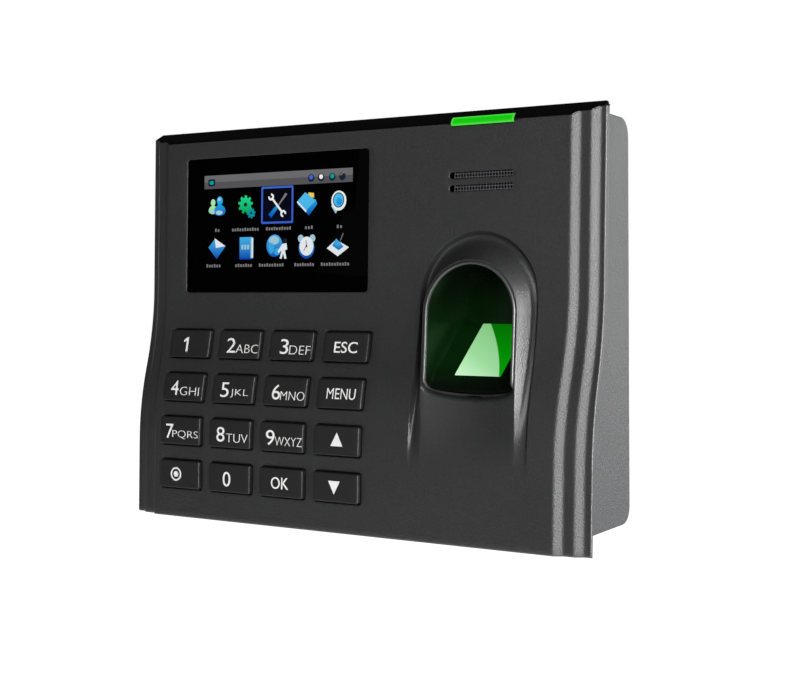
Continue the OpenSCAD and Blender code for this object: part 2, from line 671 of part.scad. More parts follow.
keycap(3, 2);  // key_up
keycap(0, 3);  // key_power
keycap(1, 3);  // key_0
keycap(2, 3);  // key_ok
keycap(3, 3);  // key_down
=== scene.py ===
"""Looks for the fingerprint scanner terminal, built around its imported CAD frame.

Lengths below are in millimetres until a mesh is made; +Z is up and -Y is the front.
"""
import math
from functools import partial

import bmesh
import bpy
from mathutils import Matrix, Vector
from mathutils.geometry import delaunay_2d_cdt


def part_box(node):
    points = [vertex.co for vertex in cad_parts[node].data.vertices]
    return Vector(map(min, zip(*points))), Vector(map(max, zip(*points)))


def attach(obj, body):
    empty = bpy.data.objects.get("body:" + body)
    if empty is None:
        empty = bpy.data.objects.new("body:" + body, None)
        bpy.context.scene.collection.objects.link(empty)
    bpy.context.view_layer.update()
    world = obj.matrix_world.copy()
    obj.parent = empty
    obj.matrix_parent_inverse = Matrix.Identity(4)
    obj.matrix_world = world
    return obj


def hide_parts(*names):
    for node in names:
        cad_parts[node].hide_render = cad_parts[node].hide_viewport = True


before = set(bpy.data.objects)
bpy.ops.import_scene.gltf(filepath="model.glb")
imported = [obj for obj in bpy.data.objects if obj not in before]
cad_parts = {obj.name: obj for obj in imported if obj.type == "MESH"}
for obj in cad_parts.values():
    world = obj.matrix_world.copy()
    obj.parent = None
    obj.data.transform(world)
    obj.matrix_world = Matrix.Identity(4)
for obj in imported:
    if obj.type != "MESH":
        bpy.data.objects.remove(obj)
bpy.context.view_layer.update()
MM = 0.001


# ---------------------------------------------------------------- small maths

def smooth(t):
    t = min(1.0, max(0.0, t))
    return t * t * (3 - 2 * t)


def mix(a, b, t):
    return a + (b - a) * t


def round_drop(d, r):
    """How far a rounded edge of radius r has dropped, at distance d in from that edge."""
    return r - math.sqrt(r * r - (r - d) ** 2) if d < r else 0.0


def steps(a, b, spacing):
    """Evenly spaced numbers from a to b, no further apart than spacing."""
    n = max(1, math.ceil(abs(b - a) / spacing - 1e-6))
    return [mix(a, b, i / n) for i in range(n + 1)]


def box_mm(node):
    low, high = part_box(node)
    return low / MM, high / MM


# ---------------------------------------------------------------- making pieces

def add_object(name, data):
    o = bpy.data.objects.new(name, data)
    bpy.context.collection.objects.link(o)
    return o


def finish_piece(o, material, body, replaced=()):
    o.data.materials.clear()
    o.data.materials.append(material)
    if replaced:
        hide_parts(*replaced)
    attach(o, body)
    return o


def piece(name, points, faces, material, body, slot, replaced=(), sharp=35.0):
    """A mesh from points in millimetres, with an edge where faces meet at more than sharp degrees."""
    mesh = bpy.data.meshes.new(name)
    mesh.from_pydata([Vector(p) * MM for p in points], [], faces)
    mesh.validate()
    bm = bmesh.new()
    bm.from_mesh(mesh)
    bmesh.ops.recalc_face_normals(bm, faces=bm.faces)
    bm.to_mesh(mesh)
    bm.free()
    mesh.shade_smooth()
    mesh.set_sharp_from_angle(angle=math.radians(sharp))
    return finish_piece(add_object(name, mesh), material, body, replaced)


def loft(loops, cap_start=True, cap_end=True):
    """Points and faces of a tube through loops of equal length, closed at the ends asked for."""
    n = len(loops[0])
    points = [p for loop in loops for p in loop]
    faces = []
    for k in range(len(loops) - 1):
        for i in range(n):
            j = (i + 1) % n
            faces.append((k * n + i, k * n + j, (k + 1) * n + j, (k + 1) * n + i))
    if cap_start:
        faces.append(tuple(range(n - 1, -1, -1)))
    if cap_end:
        faces.append(tuple(range((len(loops) - 1) * n, len(loops) * n)))
    return points, faces


def ring_loft(loops):
    """Points and faces of a tube that comes back to its first loop."""
    n, m = len(loops[0]), len(loops)
    faces = [(k * n + i, k * n + (i + 1) % n, (k + 1) % m * n + (i + 1) % n, (k + 1) % m * n + i)
             for k in range(m) for i in range(n)]
    return [p for loop in loops for p in loop], faces


def join(parts):
    """One set of points and faces from several."""
    points, faces = [], []
    for more, more_faces in parts:
        base = len(points)
        points += more
        faces += [tuple(base + i for i in f) for f in more_faces]
    return points, faces


def rounded_copy(node, width, material, body, segments=3):
    """The CAD node's own shape with its edges rounded."""
    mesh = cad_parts[node].data.copy()
    mesh.name = node + "_rounded"
    o = add_object(mesh.name, mesh)
    bm = bmesh.new()
    bm.from_mesh(mesh)
    bmesh.ops.remove_doubles(bm, verts=bm.verts, dist=0.01 * MM)
    bmesh.ops.dissolve_limit(bm, angle_limit=math.radians(1.0), verts=bm.verts, edges=bm.edges)
    bm.to_mesh(mesh)
    bm.free()
    bevel = o.modifiers.new("edges", "BEVEL")
    bevel.width = width * MM
    bevel.segments = segments
    bevel.limit_method = "ANGLE"
    bevel.angle_limit = math.radians(30)
    normals = o.modifiers.new("normals", "WEIGHTED_NORMAL")
    normals.weight = 100
    mesh.shade_smooth()
    return finish_piece(o, material, body, (node,))


# ---------------------------------------------------------------- materials

def new_material(name):
    m = bpy.data.materials.new(name)
    m.use_nodes = True
    nodes = m.node_tree.nodes
    nodes.clear()
    shader = nodes.new("ShaderNodeBsdfPrincipled")
    out = nodes.new("ShaderNodeOutputMaterial")
    m.node_tree.links.new(shader.outputs["BSDF"], out.inputs["Surface"])
    return m, m.node_tree, shader


def feed(tree, node, values):
    """Gives each named input of a node a number, a colour or another node's output."""
    for name, value in values.items():
        socket = node.inputs[name]
        if isinstance(value, bpy.types.NodeSocket):
            tree.links.new(value, socket)
        else:
            socket.default_value = (*value, 1) if socket.type == "RGBA" else value


def new_node(tree, kind, values=None):
    node = tree.nodes.new("ShaderNode" + kind)
    feed(tree, node, values or {})
    return node


def noise(tree, scale, detail=3.0, roughness=0.5, stretch=(1, 1, 1)):
    """Noise in the part's own coordinates, scale in features per metre."""
    coords = new_node(tree, "TexCoord")
    mapping = new_node(tree, "Mapping", {"Vector": coords.outputs["Object"], "Scale": stretch})
    texture = new_node(tree, "TexNoise", {"Vector": mapping.outputs["Vector"], "Scale": scale,
                                          "Detail": detail, "Roughness": roughness})
    return texture.outputs["Fac"]


def ramp(tree, factor, stops):
    """A colour ramp with stops of (position, (r, g, b))."""
    node = new_node(tree, "ValToRGB", {"Fac": factor})
    elements = node.color_ramp.elements
    while len(elements) < len(stops):
        elements.new(0.5)
    for element, (position, colour) in zip(elements, stops):
        element.position = position
        element.color = (*colour, 1)
    return node.outputs["Color"]


def grey_ramp(tree, factor, low, high, start=0.3, end=0.7):
    return ramp(tree, factor, [(start, (low,) * 3), (end, (high,) * 3)])


def bump(tree, shader, height, strength, distance):
    node = new_node(tree, "Bump", {"Strength": strength, "Distance": distance, "Height": height})
    feed(tree, shader, {"Normal": node.outputs["Normal"]})


def maths(tree, operation, a, b, clamp=False):
    node = new_node(tree, "Math", {0: a, 1: b})
    node.operation = operation
    node.use_clamp = clamp
    return node.outputs[0]


def arithmetic(tree):
    """Functions that add, subtract, multiply and divide numbers or node outputs."""
    return [partial(maths, tree, name) for name in ("ADD", "SUBTRACT", "MULTIPLY", "DIVIDE")]


def place(tree):
    """The part's own X, Y and Z, in metres."""
    coords = new_node(tree, "TexCoord")
    return new_node(tree, "SeparateXYZ", {"Vector": coords.outputs["Object"]}).outputs


def shade(colour, amount):
    return tuple(c * amount for c in colour)


def moulded(name, colour, roughness, grain, depth, spread=0.12, gloss=0.5):
    """Moulded plastic with a spark-eroded grain of so many features per metre."""
    m, tree, shader = new_material(name)
    fine = noise(tree, grain, 2.0, 0.6)
    broad = noise(tree, 25, 2.0)
    feed(tree, shader, {
        "Base Color": ramp(tree, fine, [(0.3, shade(colour, 1 - spread)), (0.7, shade(colour, 1 + spread))]),
        "Roughness": grey_ramp(tree, broad, roughness - 0.03, roughness + 0.03),
        "Specular IOR Level": gloss})
    bump(tree, shader, fine, 1.0, depth)
    return m


def metal(name, colour, roughness, stretch=(1, 1, 1), grain=900):
    m, tree, shader = new_material(name)
    lines = noise(tree, grain, 3.0, 0.5, stretch)
    feed(tree, shader, {
        "Base Color": ramp(tree, lines, [(0.25, shade(colour, 0.85)), (0.75, shade(colour, 1.08))]),
        "Roughness": grey_ramp(tree, lines, roughness - 0.06, roughness + 0.08),
        "Metallic": 1.0})
    bump(tree, shader, lines, 0.25, 0.00002)
    return m


CHARCOAL = (0.018, 0.0182, 0.019)
cover_plastic = moulded("cover_plastic", CHARCOAL, 0.42, 1700, 0.00014, 0.35, 0.85)
case_plastic = moulded("case_plastic", shade(CHARCOAL, 1.35), 0.5, 1700, 0.00014, 0.35)
key_plastic = moulded("key_plastic", (0.013, 0.013, 0.014), 0.42, 2300, 0.000025, 0.15)
gloss_black = moulded("gloss_black", (0.002, 0.002, 0.0022), 0.12, 400, 0.000002, 0.1)
window_black = moulded("window_black", (0.0005, 0.0005, 0.0006), 0.04, 200, 0.0000005, 0.1, 0.02)
lip_plastic = moulded("lip_plastic", (0.04, 0.04, 0.041), 0.33, 1700, 0.00003, 0.3, 0.8)
dark_plastic = moulded("dark_plastic", (0.02, 0.02, 0.022), 0.5, 1500, 0.00003)
chip_black = moulded("chip_black", (0.016, 0.016, 0.017), 0.55, 2500, 0.00001)
terminal_green = moulded("terminal_green", (0.02, 0.22, 0.07), 0.42, 1500, 0.00002)
ivory = moulded("ivory_nylon", (0.7, 0.66, 0.52), 0.45, 1500, 0.00002)
acetal = moulded("acetal", (0.72, 0.71, 0.67), 0.35, 1500, 0.00001)
silicone = moulded("silicone", (0.09, 0.09, 0.1), 0.6, 1200, 0.00001)
ribbon = moulded("ribbon", (0.55, 0.4, 0.2), 0.3, 800, 0.000005)
wire_red = moulded("wire_red", (0.4, 0.02, 0.02), 0.4, 900, 0.000005)
legend_white = moulded("legend_white", (0.82, 0.82, 0.8), 0.5, 1500, 0.000005, 0.03)
led_clear = moulded("led_clear", (0.8, 0.82, 0.78), 0.2, 900, 0.000002, 0.03)
zinc = metal("zinc_plate", (0.42, 0.43, 0.45), 0.42, (1, 1, 12))
screw_metal = metal("screw_metal", (0.5, 0.5, 0.53), 0.3)
tinned = metal("tinned_shell", (0.7, 0.7, 0.7), 0.28, (14, 1, 1))
panel_metal = metal("panel_metal", (0.58, 0.59, 0.61), 0.4, (1, 1, 10))
brass = metal("brass", (0.75, 0.53, 0.2), 0.3)
bright_can = metal("bright_can", (0.78, 0.78, 0.8), 0.16)
mesh_wire = metal("mesh_wire", (0.3, 0.3, 0.31), 0.4)


def circuit_board_material():
    """Green solder mask with faint copper tracks under it."""
    m, tree, shader = new_material("circuit_board")
    coords = new_node(tree, "TexCoord")
    cells = new_node(tree, "TexVoronoi", {"Vector": coords.outputs["Object"], "Scale": 420})
    cells.distance = "MANHATTAN"
    cells.feature = "F1"
    tracks = cells.outputs["Distance"]
    feed(tree, shader, {
        "Base Color": ramp(tree, tracks, [(0.35, (0.008, 0.1, 0.035)), (0.5, (0.02, 0.17, 0.06))]),
        "Roughness": 0.3})
    bump(tree, shader, tracks, 0.3, 0.00003)
    return m


circuit_board = circuit_board_material()


# ---------------------------------------------------------------- the front face, as the CAD has it

FACE_Y = -32.0            # the upper face
STEP = 7.0                # how far the keypad face stands in front of it
SWEEP_TOP = 13.0          # the S curve between the two faces starts and ends here
SWEEP_LOW = -43.0
SWEEP_ANGLE = 2 * math.atan(STEP / (SWEEP_TOP - SWEEP_LOW))
SWEEP_R = (SWEEP_TOP - SWEEP_LOW) / (2 * math.sin(SWEEP_ANGLE))
SWEEP_MID = (SWEEP_TOP + SWEEP_LOW) / 2
LOW_FACE_Y = FACE_Y - STEP

cover_low, cover_high = box_mm("front_cover")
HALF_W = cover_high.x
BOTTOM_Z = cover_low.z
SLOPE_Z = 66.3            # the top slope's front edge
SLOPE_BACK_Z = 70.85      # its back edge
RIM_D = 7.0               # depth of the rim's back, behind the face
RIM_D_EDGE = (6.3, 4.9)   # its depth at the sides, at the upper face and at the keypad face
TRIM_SEAT = 1.3           # the trim's seat lies this far below the slope
TRIM_BAND = 0.42          # height of the trim's front edge, below the slope
SLOPE_RATIO = RIM_D / (SLOPE_BACK_Z - SLOPE_Z)
PLATE_T = 2.2             # thickness of the cover


def face_y(z, d=0.0):
    """Y of the front face at height z, or of the surface that lies d behind it."""
    if z >= SWEEP_TOP:
        return FACE_Y + d
    if z >= SWEEP_MID - d * math.sin(SWEEP_ANGLE):
        return FACE_Y - SWEEP_R + math.sqrt((SWEEP_R + d) ** 2 - (SWEEP_TOP - z) ** 2)
    if z >= SWEEP_LOW:
        return LOW_FACE_Y + SWEEP_R - math.sqrt((SWEEP_R - d) ** 2 - (z - SWEEP_LOW) ** 2)
    return LOW_FACE_Y + d


# The flutes: width of each step back, then each flute's middle in from the rim and its depth.
# Every pair holds the value at the upper face and the value at the keypad face.
FLUTE_W = (3.5, 3.9)
FLUTES = [((8.8, 9.9), (2.0, 1.95)), ((3.0, 3.7), (2.1, 1.9))]
RIM_ROUND = 0.35


def sweep_share(z):
    """0 on the upper face, 1 on the keypad face."""
    return smooth((SWEEP_TOP - z) / (SWEEP_TOP - SWEEP_LOW))


def ramp_step(t, ease=0.3):
    """A step from 0 to 1 with a straight middle and rounded ends."""
    t = min(1.0, max(0.0, t))
    if t > 0.5:
        return 1 - ramp_step(1 - t, ease)
    height = t * t / (2 * ease) if t < ease else t - ease / 2
    return height / (1 - ease)


def flute_depth(s, z=SWEEP_TOP):
    """Depth of the fluted side at distance s in from the rim: two steps back, then a small round."""
    w = sweep_share(z)
    depth = round_drop(s, RIM_ROUND)
    for middle, drop in FLUTES:
        depth += mix(*drop, w) * ramp_step((mix(*middle, w) - s) / mix(*FLUTE_W, w) + 0.5)
    return depth


# Finger hood: an arched edge, a cove inside it, and a flank that rises to the ring
FX = 49.8                             # X of the recess's middle
HOOD_R, HOOD_Z = 21.7, 9.3            # radius and centre of the hood's arched edge
RING_R, RING_Z = 17.2, 4.4            # and of the ring's
HOLE_R, HOLE_SIDE_Z, HOLE_DROP = 16.7, -19.3, 3.2     # the hole's radius, foot of its sides, low arc
RING_TOP = (21.6, -37.2)              # Z and Y of two points in the ring's plane
RING_LOW = (-22.0, -38.9)
HOOD_LOW = -47.0                      # the hood has run out here
HOOD_FADE = 27.0                      # height over which it runs out
HOOD_T = 4.2                          # the cover is this thick behind the hood
COVE_D = 2.2                          # depth of the cove
COVE_T = 0.8                          # its deepest line, as a share of the way from ring to edge
BEAD_W, BEAD_H = 0.8, 0.22            # a fine bead along the hood's outer edge
# The finger groove: its top, the height where it is deepest, its depth and its half width
CHANNEL_TOP, CHANNEL_Z, CHANNEL_D, CHANNEL_W = -14.0, -23.0, 2.5, 16.6


def ring_y(z):
    """The leaning plane that the ring round the recess lies in."""
    slope = (RING_TOP[1] - RING_LOW[1]) / (RING_TOP[0] - RING_LOW[0])
    return max(LOW_FACE_Y, RING_LOW[1] + (z - RING_LOW[0]) * slope)


def arch_distance(x, z, r, centre_z):
    """Distance outside an arch with straight sides that run down from its centre."""
    dx = x - FX
    return (math.hypot(dx, z - centre_z) if z > centre_z else abs(dx)) - r


def channel_depth(x, z):
    """Depth of the finger groove below the ring's plane."""
    u = (x - FX) / CHANNEL_W
    start = smooth((CHANNEL_TOP - z) / (CHANNEL_TOP - CHANNEL_Z))
    end = smooth((z - HOOD_LOW) / (CHANNEL_Z - HOOD_LOW))
    return CHANNEL_D * max(0.0, 1 - u * u) * (start * end)


def hood_fade(z):
    """1 round the recess, falling to 0 where the hood runs out into the keypad face."""
    return smooth((z - HOOD_LOW) / HOOD_FADE)


def flank(t):
    """From 0 at the ring to 1 in the cove."""
    return math.sin(min(1.0, t / COVE_T) * math.pi / 2)


def cover_y(x, z):
    """Y of the cover's front surface, before its edges are rounded."""
    top = max(0.0, (z - SLOPE_Z) * SLOPE_RATIO)
    side = flute_depth(HALF_W - abs(x), z)
    front_z = SLOPE_Z + side / SLOPE_RATIO
    top += TRIM_SEAT * SLOPE_RATIO * smooth((z - front_z + TRIM_BAND) / 0.06)
    depth = max(side, top) + round_drop(z - BOTTOM_Z, 0.8)
    y = face_y(z, min(depth, RIM_D - 0.06))
    outside_ring = arch_distance(x, z, RING_R, RING_Z)
    inside_hood = -arch_distance(x, z, HOOD_R, HOOD_Z)
    if inside_hood <= 0 or z < HOOD_LOW:
        return y
    crest = mix(y, ring_y(z), hood_fade(z) if z < RING_LOW[0] else 1.0)
    if outside_ring <= 0:
        return crest + channel_depth(x, z)
    t = outside_ring / (outside_ring + inside_hood)
    floor = y + COVE_D * hood_fade(z)
    if t < COVE_T:
        return mix(crest, floor, flank(t))
    bead = BEAD_H * max(0.0, 1 - ((inside_hood - BEAD_W / 2) / (BEAD_W / 2)) ** 2) * hood_fade(z)
    return mix(floor, y, smooth((t - COVE_T) / (1 - COVE_T) * 0.5) * 2) - bead


# ---------------------------------------------------------------- outlines

def rounded_rect(rect, runs=None, corner=5):
    """Anticlockwise outline of (low_x, high_x, low_z, high_z, radius), in so many steps along X and Z."""
    low_x, high_x, low_z, high_z, r = rect
    runs = runs or runs_for(rect)
    corners = [(high_x - r, low_z + r, -90), (high_x - r, high_z - r, 0),
               (low_x + r, high_z - r, 90), (low_x + r, low_z + r, 180)]
    out = []
    for i, (cx, cz, a0) in enumerate(corners):
        for k in range(corner + 1):
            a = math.radians(a0 + 90 * k / corner)
            out.append((cx + r * math.cos(a), cz + r * math.sin(a)))
        nx, nz, na = corners[(i + 1) % 4]
        a = math.radians(na)
        start, end = out[-1], (nx + r * math.cos(a), nz + r * math.sin(a))
        n = runs[(i + 1) % 2]
        out += [(mix(start[0], end[0], k / n), mix(start[1], end[1], k / n)) for k in range(1, n)]
    return out


def runs_for(rect, spacing=1.2):
    """How many steps of about that spacing go along each side."""
    return tuple(max(1, math.ceil((rect[k + 1] - rect[k]) / spacing)) for k in (0, 2))


def arch(r, centre_z, side_z, drop, n_arch=64, n_side=24, n_low=40):
    """Anticlockwise outline: an arch, straight sides down to side_z, and a shallow arc below that."""
    out = [(r * math.cos(math.pi * i / n_arch), centre_z + r * math.sin(math.pi * i / n_arch))
           for i in range(n_arch + 1)]
    out += [(-r, mix(centre_z, side_z, i / n_side)) for i in range(1, n_side)]
    out += [(-r * math.cos(math.pi * i / n_low), side_z - drop * math.sin(math.pi * i / n_low))
            for i in range(n_low + 1)]
    out += [(r, mix(side_z, centre_z, i / n_side)) for i in range(1, n_side)]
    return [(FX + x, z) for x, z in out]


def rect_distance(x, z, rect):
    """Distance outside a rounded rectangle (low_x, high_x, low_z, high_z, radius)."""
    lx, hx, lz, hz, r = rect
    dx = max(lx + r - x, x - hx + r)
    dz = max(lz + r - z, z - hz + r)
    if dx > 0 and dz > 0:
        return math.hypot(dx, dz) - r
    return max(dx, dz) - r


# ---------------------------------------------------------------- front cover

KEYS = ["key_1", "key_2", "key_3", "key_esc", "key_4", "key_5", "key_6", "key_menu",
        "key_7", "key_8", "key_9", "key_up", "key_power", "key_0", "key_ok", "key_down"]
KEY_LIP = 1.0             # the flange behind the cover is this much wider than the cap
KEY_R = 0.6
KEY_GAP = 0.5


def key_rect(name, grow=0.0):
    low, high = box_mm(name)
    g = grow - KEY_LIP
    return (low.x - g, high.x + g, low.z - g, high.z + g, KEY_R + grow)


window_low, window_high = box_mm("display_window")
WINDOW_GAP = 0.1
WINDOW = (window_low.x - WINDOW_GAP, window_high.x + WINDOW_GAP,
          window_low.z - WINDOW_GAP, window_high.z + WINDOW_GAP, 1.3)
SLOT_X = (38.5, 62.1)
SLOT_Z = (44.9, 49.1)
SLOT_H = 2.2
SLOT_T = 0.6              # the cover is this thin behind the slots, where the mesh lies in a pocket
POCKET_EDGE = 1.5         # the pocket is this much wider than the slots, all round
SPEAKER_POCKET = (SLOT_X[0] - POCKET_EDGE, SLOT_X[1] + POCKET_EDGE,
                  SLOT_Z[0] - SLOT_H / 2 - POCKET_EDGE, SLOT_Z[1] + SLOT_H / 2 + POCKET_EDGE, 0)
bar_low, bar_high = box_mm("status_light_bar")
BAR = (bar_low.x - 0.2, bar_high.x - 0.06, 64.9, 68.5, 0.7)
SLOTS = [(SLOT_X[0], SLOT_X[1], z - SLOT_H / 2, z + SLOT_H / 2, SLOT_H / 2 - 0.01) for z in SLOT_Z]
HOLES = [(key_rect(k, KEY_GAP), 0.35) for k in KEYS] + [(WINDOW, 0.25), (BAR, 0.25)]
HOLES += [(slot, 0.2) for slot in SLOTS]      # each hole with the radius of its edge
EDGE_SHARES = (0, 0.08 / 0.35, 0.2 / 0.35, 1)         # where lines run along that edge
LIP_ROUND = 1.6           # round of the recess's lower lip


def grown(rect, d):
    return (rect[0] - d, rect[1] + d, rect[2] - d, rect[3] + d, rect[4] + d)


def front_cover():
    hole_line = arch(HOLE_R, RING_Z, HOLE_SIDE_Z, HOLE_DROP)
    low_lip = [p for p in hole_line if p[1] < HOLE_SIDE_Z]
    hood_low = HOOD_LOW + 0.5

    def hood_sides(r, centre_z):
        """The arch with its sides run down to the hood's low end, open below."""
        n_arch, n_side = 72, 40
        out = [(FX + r, mix(hood_low, centre_z, i / n_side)) for i in range(n_side)]
        out += [(FX + r * math.cos(math.pi * i / n_arch), centre_z + r * math.sin(math.pi * i / n_arch))
                for i in range(n_arch + 1)]
        out += [(FX - r, mix(centre_z, hood_low, i / n_side)) for i in range(1, n_side + 1)]
        return out

    ring, edge = hood_sides(RING_R, RING_Z), hood_sides(HOOD_R, HOOD_Z)
    shares = [0, 0.04, 0.1, 0.2, 0.3, 0.4, 0.5, 0.58, 0.66, 0.73, 0.8, 0.84, 0.87, 0.9, 0.93, 0.96, 0.98, 1.0]
    lines = [[(mix(a[0], b[0], t), mix(a[1], b[1], t)) for a, b in zip(ring, edge)] for t in shares]
    for wider in (1 + 0.25 / HOOD_R, 1 + 0.7 / HOOD_R):
        lines.append([(FX + (x - FX) * wider, HOOD_Z + (z - HOOD_Z) * wider if z > HOOD_Z else z)
                      for x, z in edge])
    loops = [hole_line]
    for rect, r in HOLES:
        loops += [rounded_rect(grown(rect, share * r), runs_for(rect)) for share in EDGE_SHARES]

    # Lattice lines: close together at the rim, the flutes and the top slope, wide apart between
    rim = [0, 0.03, 0.1, 0.2, 0.35, 0.8, 1.25] + steps(1.6, 5.45, 0.35) + [6.2, 7.05] + steps(7.4, 11.65, 0.4)
    xs = [-HALF_W + s for s in rim] + steps(-HALF_W + 12, HALF_W - 12, 2.5)
    xs += [HALF_W - s for s in rim[::-1]]
    zs = [BOTTOM_Z + s for s in (0, 0.05, 0.15, 0.35, 0.8)] + steps(BOTTOM_Z + 2.5, SLOPE_Z - 1.6, 1.6)
    zs += steps(SLOPE_Z - 0.8, SLOPE_BACK_Z - TRIM_SEAT - 0.035, 0.35)
    step_xs = [x for x in xs if not BAR[0] - 0.8 < x < BAR[1] + 0.8]

    def trim_line(x):
        """Height of the trim's lower edge."""
        return SLOPE_Z + flute_depth(HALF_W - abs(x)) / SLOPE_RATIO - TRIM_BAND

    def free(x, z):
        """True where a lattice point keeps clear of the holes and of the hood's own lines."""
        near_hole = any(rect_distance(x, z, rect) < r + 0.35 for rect, r in HOLES)
        near_trim = abs(z - trim_line(x) - 0.03) < 0.2
        near_hood = hood_low - 0.4 < z and arch_distance(x, z, HOOD_R + 1.1, HOOD_Z) < 0
        return not (near_hole or near_trim or near_hood)

    grid = [(x, z) for x in xs for z in zs if free(x, z)]
    inner = [(x, z) for x in steps(FX - RING_R + 0.4, FX + RING_R - 0.4, 0.9)
             for z in steps(hood_low + 0.4, HOLE_SIDE_Z, 0.9) if lip_distance(x, z, low_lip) > 2.0]
    lip_lines = [[(x + nx * d, z + nz * d) for (x, z), (nx, nz) in lip_normals(low_lip)]
                 for d in (0.15, 0.4, 0.75, 1.15, LIP_ROUND)]
    points, edges = [], []

    def add_line(line, closed):
        start = len(points)
        points.extend(line)
        n = len(line)
        edges.extend((start + i, start + (i + 1) % n) for i in range(n if closed else n - 1))

    for line in loops:
        add_line(line, True)
    for line in lines:
        add_line(line, False)
    for rise in (-0.005, 0.065):
        add_line([(x, trim_line(x) + rise) for x in step_xs if x < BAR[0]], False)
        add_line([(x, trim_line(x) + rise) for x in step_xs if x > BAR[1]], False)
    points += grid + inner + [p for line in lip_lines for p in line if abs(p[0] - FX) < HOLE_R]
    flat, _, triangles, *_ = delaunay_2d_cdt([Vector(p) for p in points], edges, [], 0, 1e-4)
    flat = [(v.x, v.y) for v in flat]
    kept = []
    for a, b, c in triangles:
        x = (flat[a][0] + flat[b][0] + flat[c][0]) / 3
        z = (flat[a][1] + flat[b][1] + flat[c][1]) / 3
        if any(rect_distance(x, z, rect) < 0 for rect, _ in HOLES) or in_recess(x, z):
            continue
        kept.append((a, b, c))

    def front(x, z):
        y = cover_y(x, z)
        for rect, r in HOLES:
            d = rect_distance(x, z, rect)
            if d < r:
                y += round_drop(max(0.0, d), r)
        if z < HOLE_SIDE_Z + 0.5 and abs(x - FX) < HOLE_R + 0.3:
            d = min(max(0.0, lip_distance(x, z, low_lip)), LIP_ROUND)
            y += round_drop(d, LIP_ROUND) * smooth((HOLE_SIDE_Z + 0.5 - z) / 3)
        return y

    def back(x, z, y):
        """The cover's inner face: a thin plate, thicker at the hood and at the rim."""
        near_rim = max(smooth((10.0 - HALF_W + abs(x)) / 3), smooth((BOTTOM_Z + 9 - z) / 1.5),
                       smooth((z - SLOPE_Z + 3.0) / 1.5))
        hooded = smooth((2.0 - arch_distance(x, z, HOOD_R, HOOD_Z)) / 1.0) if z > HOOD_LOW else 0.0
        thickness = mix(mix(PLATE_T, HOOD_T, hooded), RIM_D, near_rim)
        if rect_distance(x, z, SPEAKER_POCKET) < 0:
            thickness = SLOT_T
        rim_d = mix(*RIM_D_EDGE, sweep_share(z)) if HALF_W - abs(x) < 2.8 else RIM_D
        return max(face_y(z, min(thickness, rim_d)), y + 0.02)

    count = len(flat)
    fronts = [(x, front(x, z), z) for x, z in flat]
    backs = [(x, back(x, z, y), z) for x, y, z in fronts]
    faces = kept + [(count + c, count + b, count + a) for a, b, c in kept]
    used = {(t[i], t[(i + 1) % 3]) for t in kept for i in range(3)}
    faces += [(b, a, count + a, count + b) for a, b in used if (b, a) not in used]
    wanted = sorted({i for f in faces for i in f})
    new = {old: i for i, old in enumerate(wanted)}
    all_points = fronts + backs
    points = [all_points[i] for i in wanted]
    faces = [tuple(new[i] for i in f) for f in faces]
    piece("front_cover_shell", points, faces, cover_plastic, "terminal", "cover_plastic",
          ("front_cover",), 40)


def in_recess(x, z):
    """True inside the hole that the recess liner fills."""
    dx = abs(x - FX)
    if dx >= HOLE_R:
        return False
    if z > HOLE_SIDE_Z:
        return arch_distance(x, z, HOLE_R, RING_Z) < 0
    return z > HOLE_SIDE_Z - HOLE_DROP * math.sqrt(1 - (dx / HOLE_R) ** 2)


def lip_distance(x, z, low_lip):
    """Distance from the recess's lower lip, negative inside the recess."""
    d = min(math.dist((x, z), p) for p in low_lip)
    return -d if in_recess(x, z) else d


def lip_normals(low_lip):
    """Each point of the lower lip with the direction away from the recess."""
    out = []
    for x, z in low_lip:
        nx, nz = (x - FX) / HOLE_R ** 2, (z - HOLE_SIDE_Z) / HOLE_DROP ** 2
        n = math.hypot(nx, nz)
        out.append(((x, z), (nx / n, nz / n)))
    return out


front_cover()


# ---------------------------------------------------------------- helpers for filled shapes

def triangulate(outline, inside, holes=()):
    """Triangles over an outline with inside points and lines for its holes, points in the order given."""
    points = list(outline)
    edges = [(i, (i + 1) % len(outline)) for i in range(len(outline))]
    for hole in holes:
        start = len(points)
        points += hole
        edges += [(start + i, start + (i + 1) % len(hole)) for i in range(len(hole))]
    points += inside
    flat, _, triangles, *_ = delaunay_2d_cdt([Vector(p) for p in points], edges, [], 1, 1e-5)
    return [(v.x, v.y) for v in flat], [tuple(t) for t in triangles]


def rect_grid(rect, clear, spacing_x, spacing_z):
    """Lattice points inside a rounded rectangle, at least clear from its edge."""
    return [(x, z) for x in steps(rect[0], rect[1], spacing_x)
            for z in steps(rect[2], rect[3], spacing_z) if rect_distance(x, z, rect) < -clear]


def with_front(loops, outline, inside, front_y):
    """Closes a tube of loops with a front over its last outline that follows front_y(x, z)."""
    points, faces = loft(loops, cap_start=True, cap_end=False)
    flat, triangles = triangulate(outline, inside)
    base = len(points) - len(outline)
    points = points[:base] + [(x, front_y(x, z), z) for x, z in flat]
    return points, faces + [tuple(base + i for i in t) for t in triangles]


def edge_round(r, count=4):
    """Pairs of (distance in, distance down) round an edge of radius r, from its side to its top."""
    angles = [math.pi / 2 * i / count for i in range(count + 1)]
    return [(r * (1 - math.cos(a)), r * (1 - math.sin(a))) for a in angles]


# ---------------------------------------------------------------- trim, light bar and window

TRIM_ROUND = 0.15


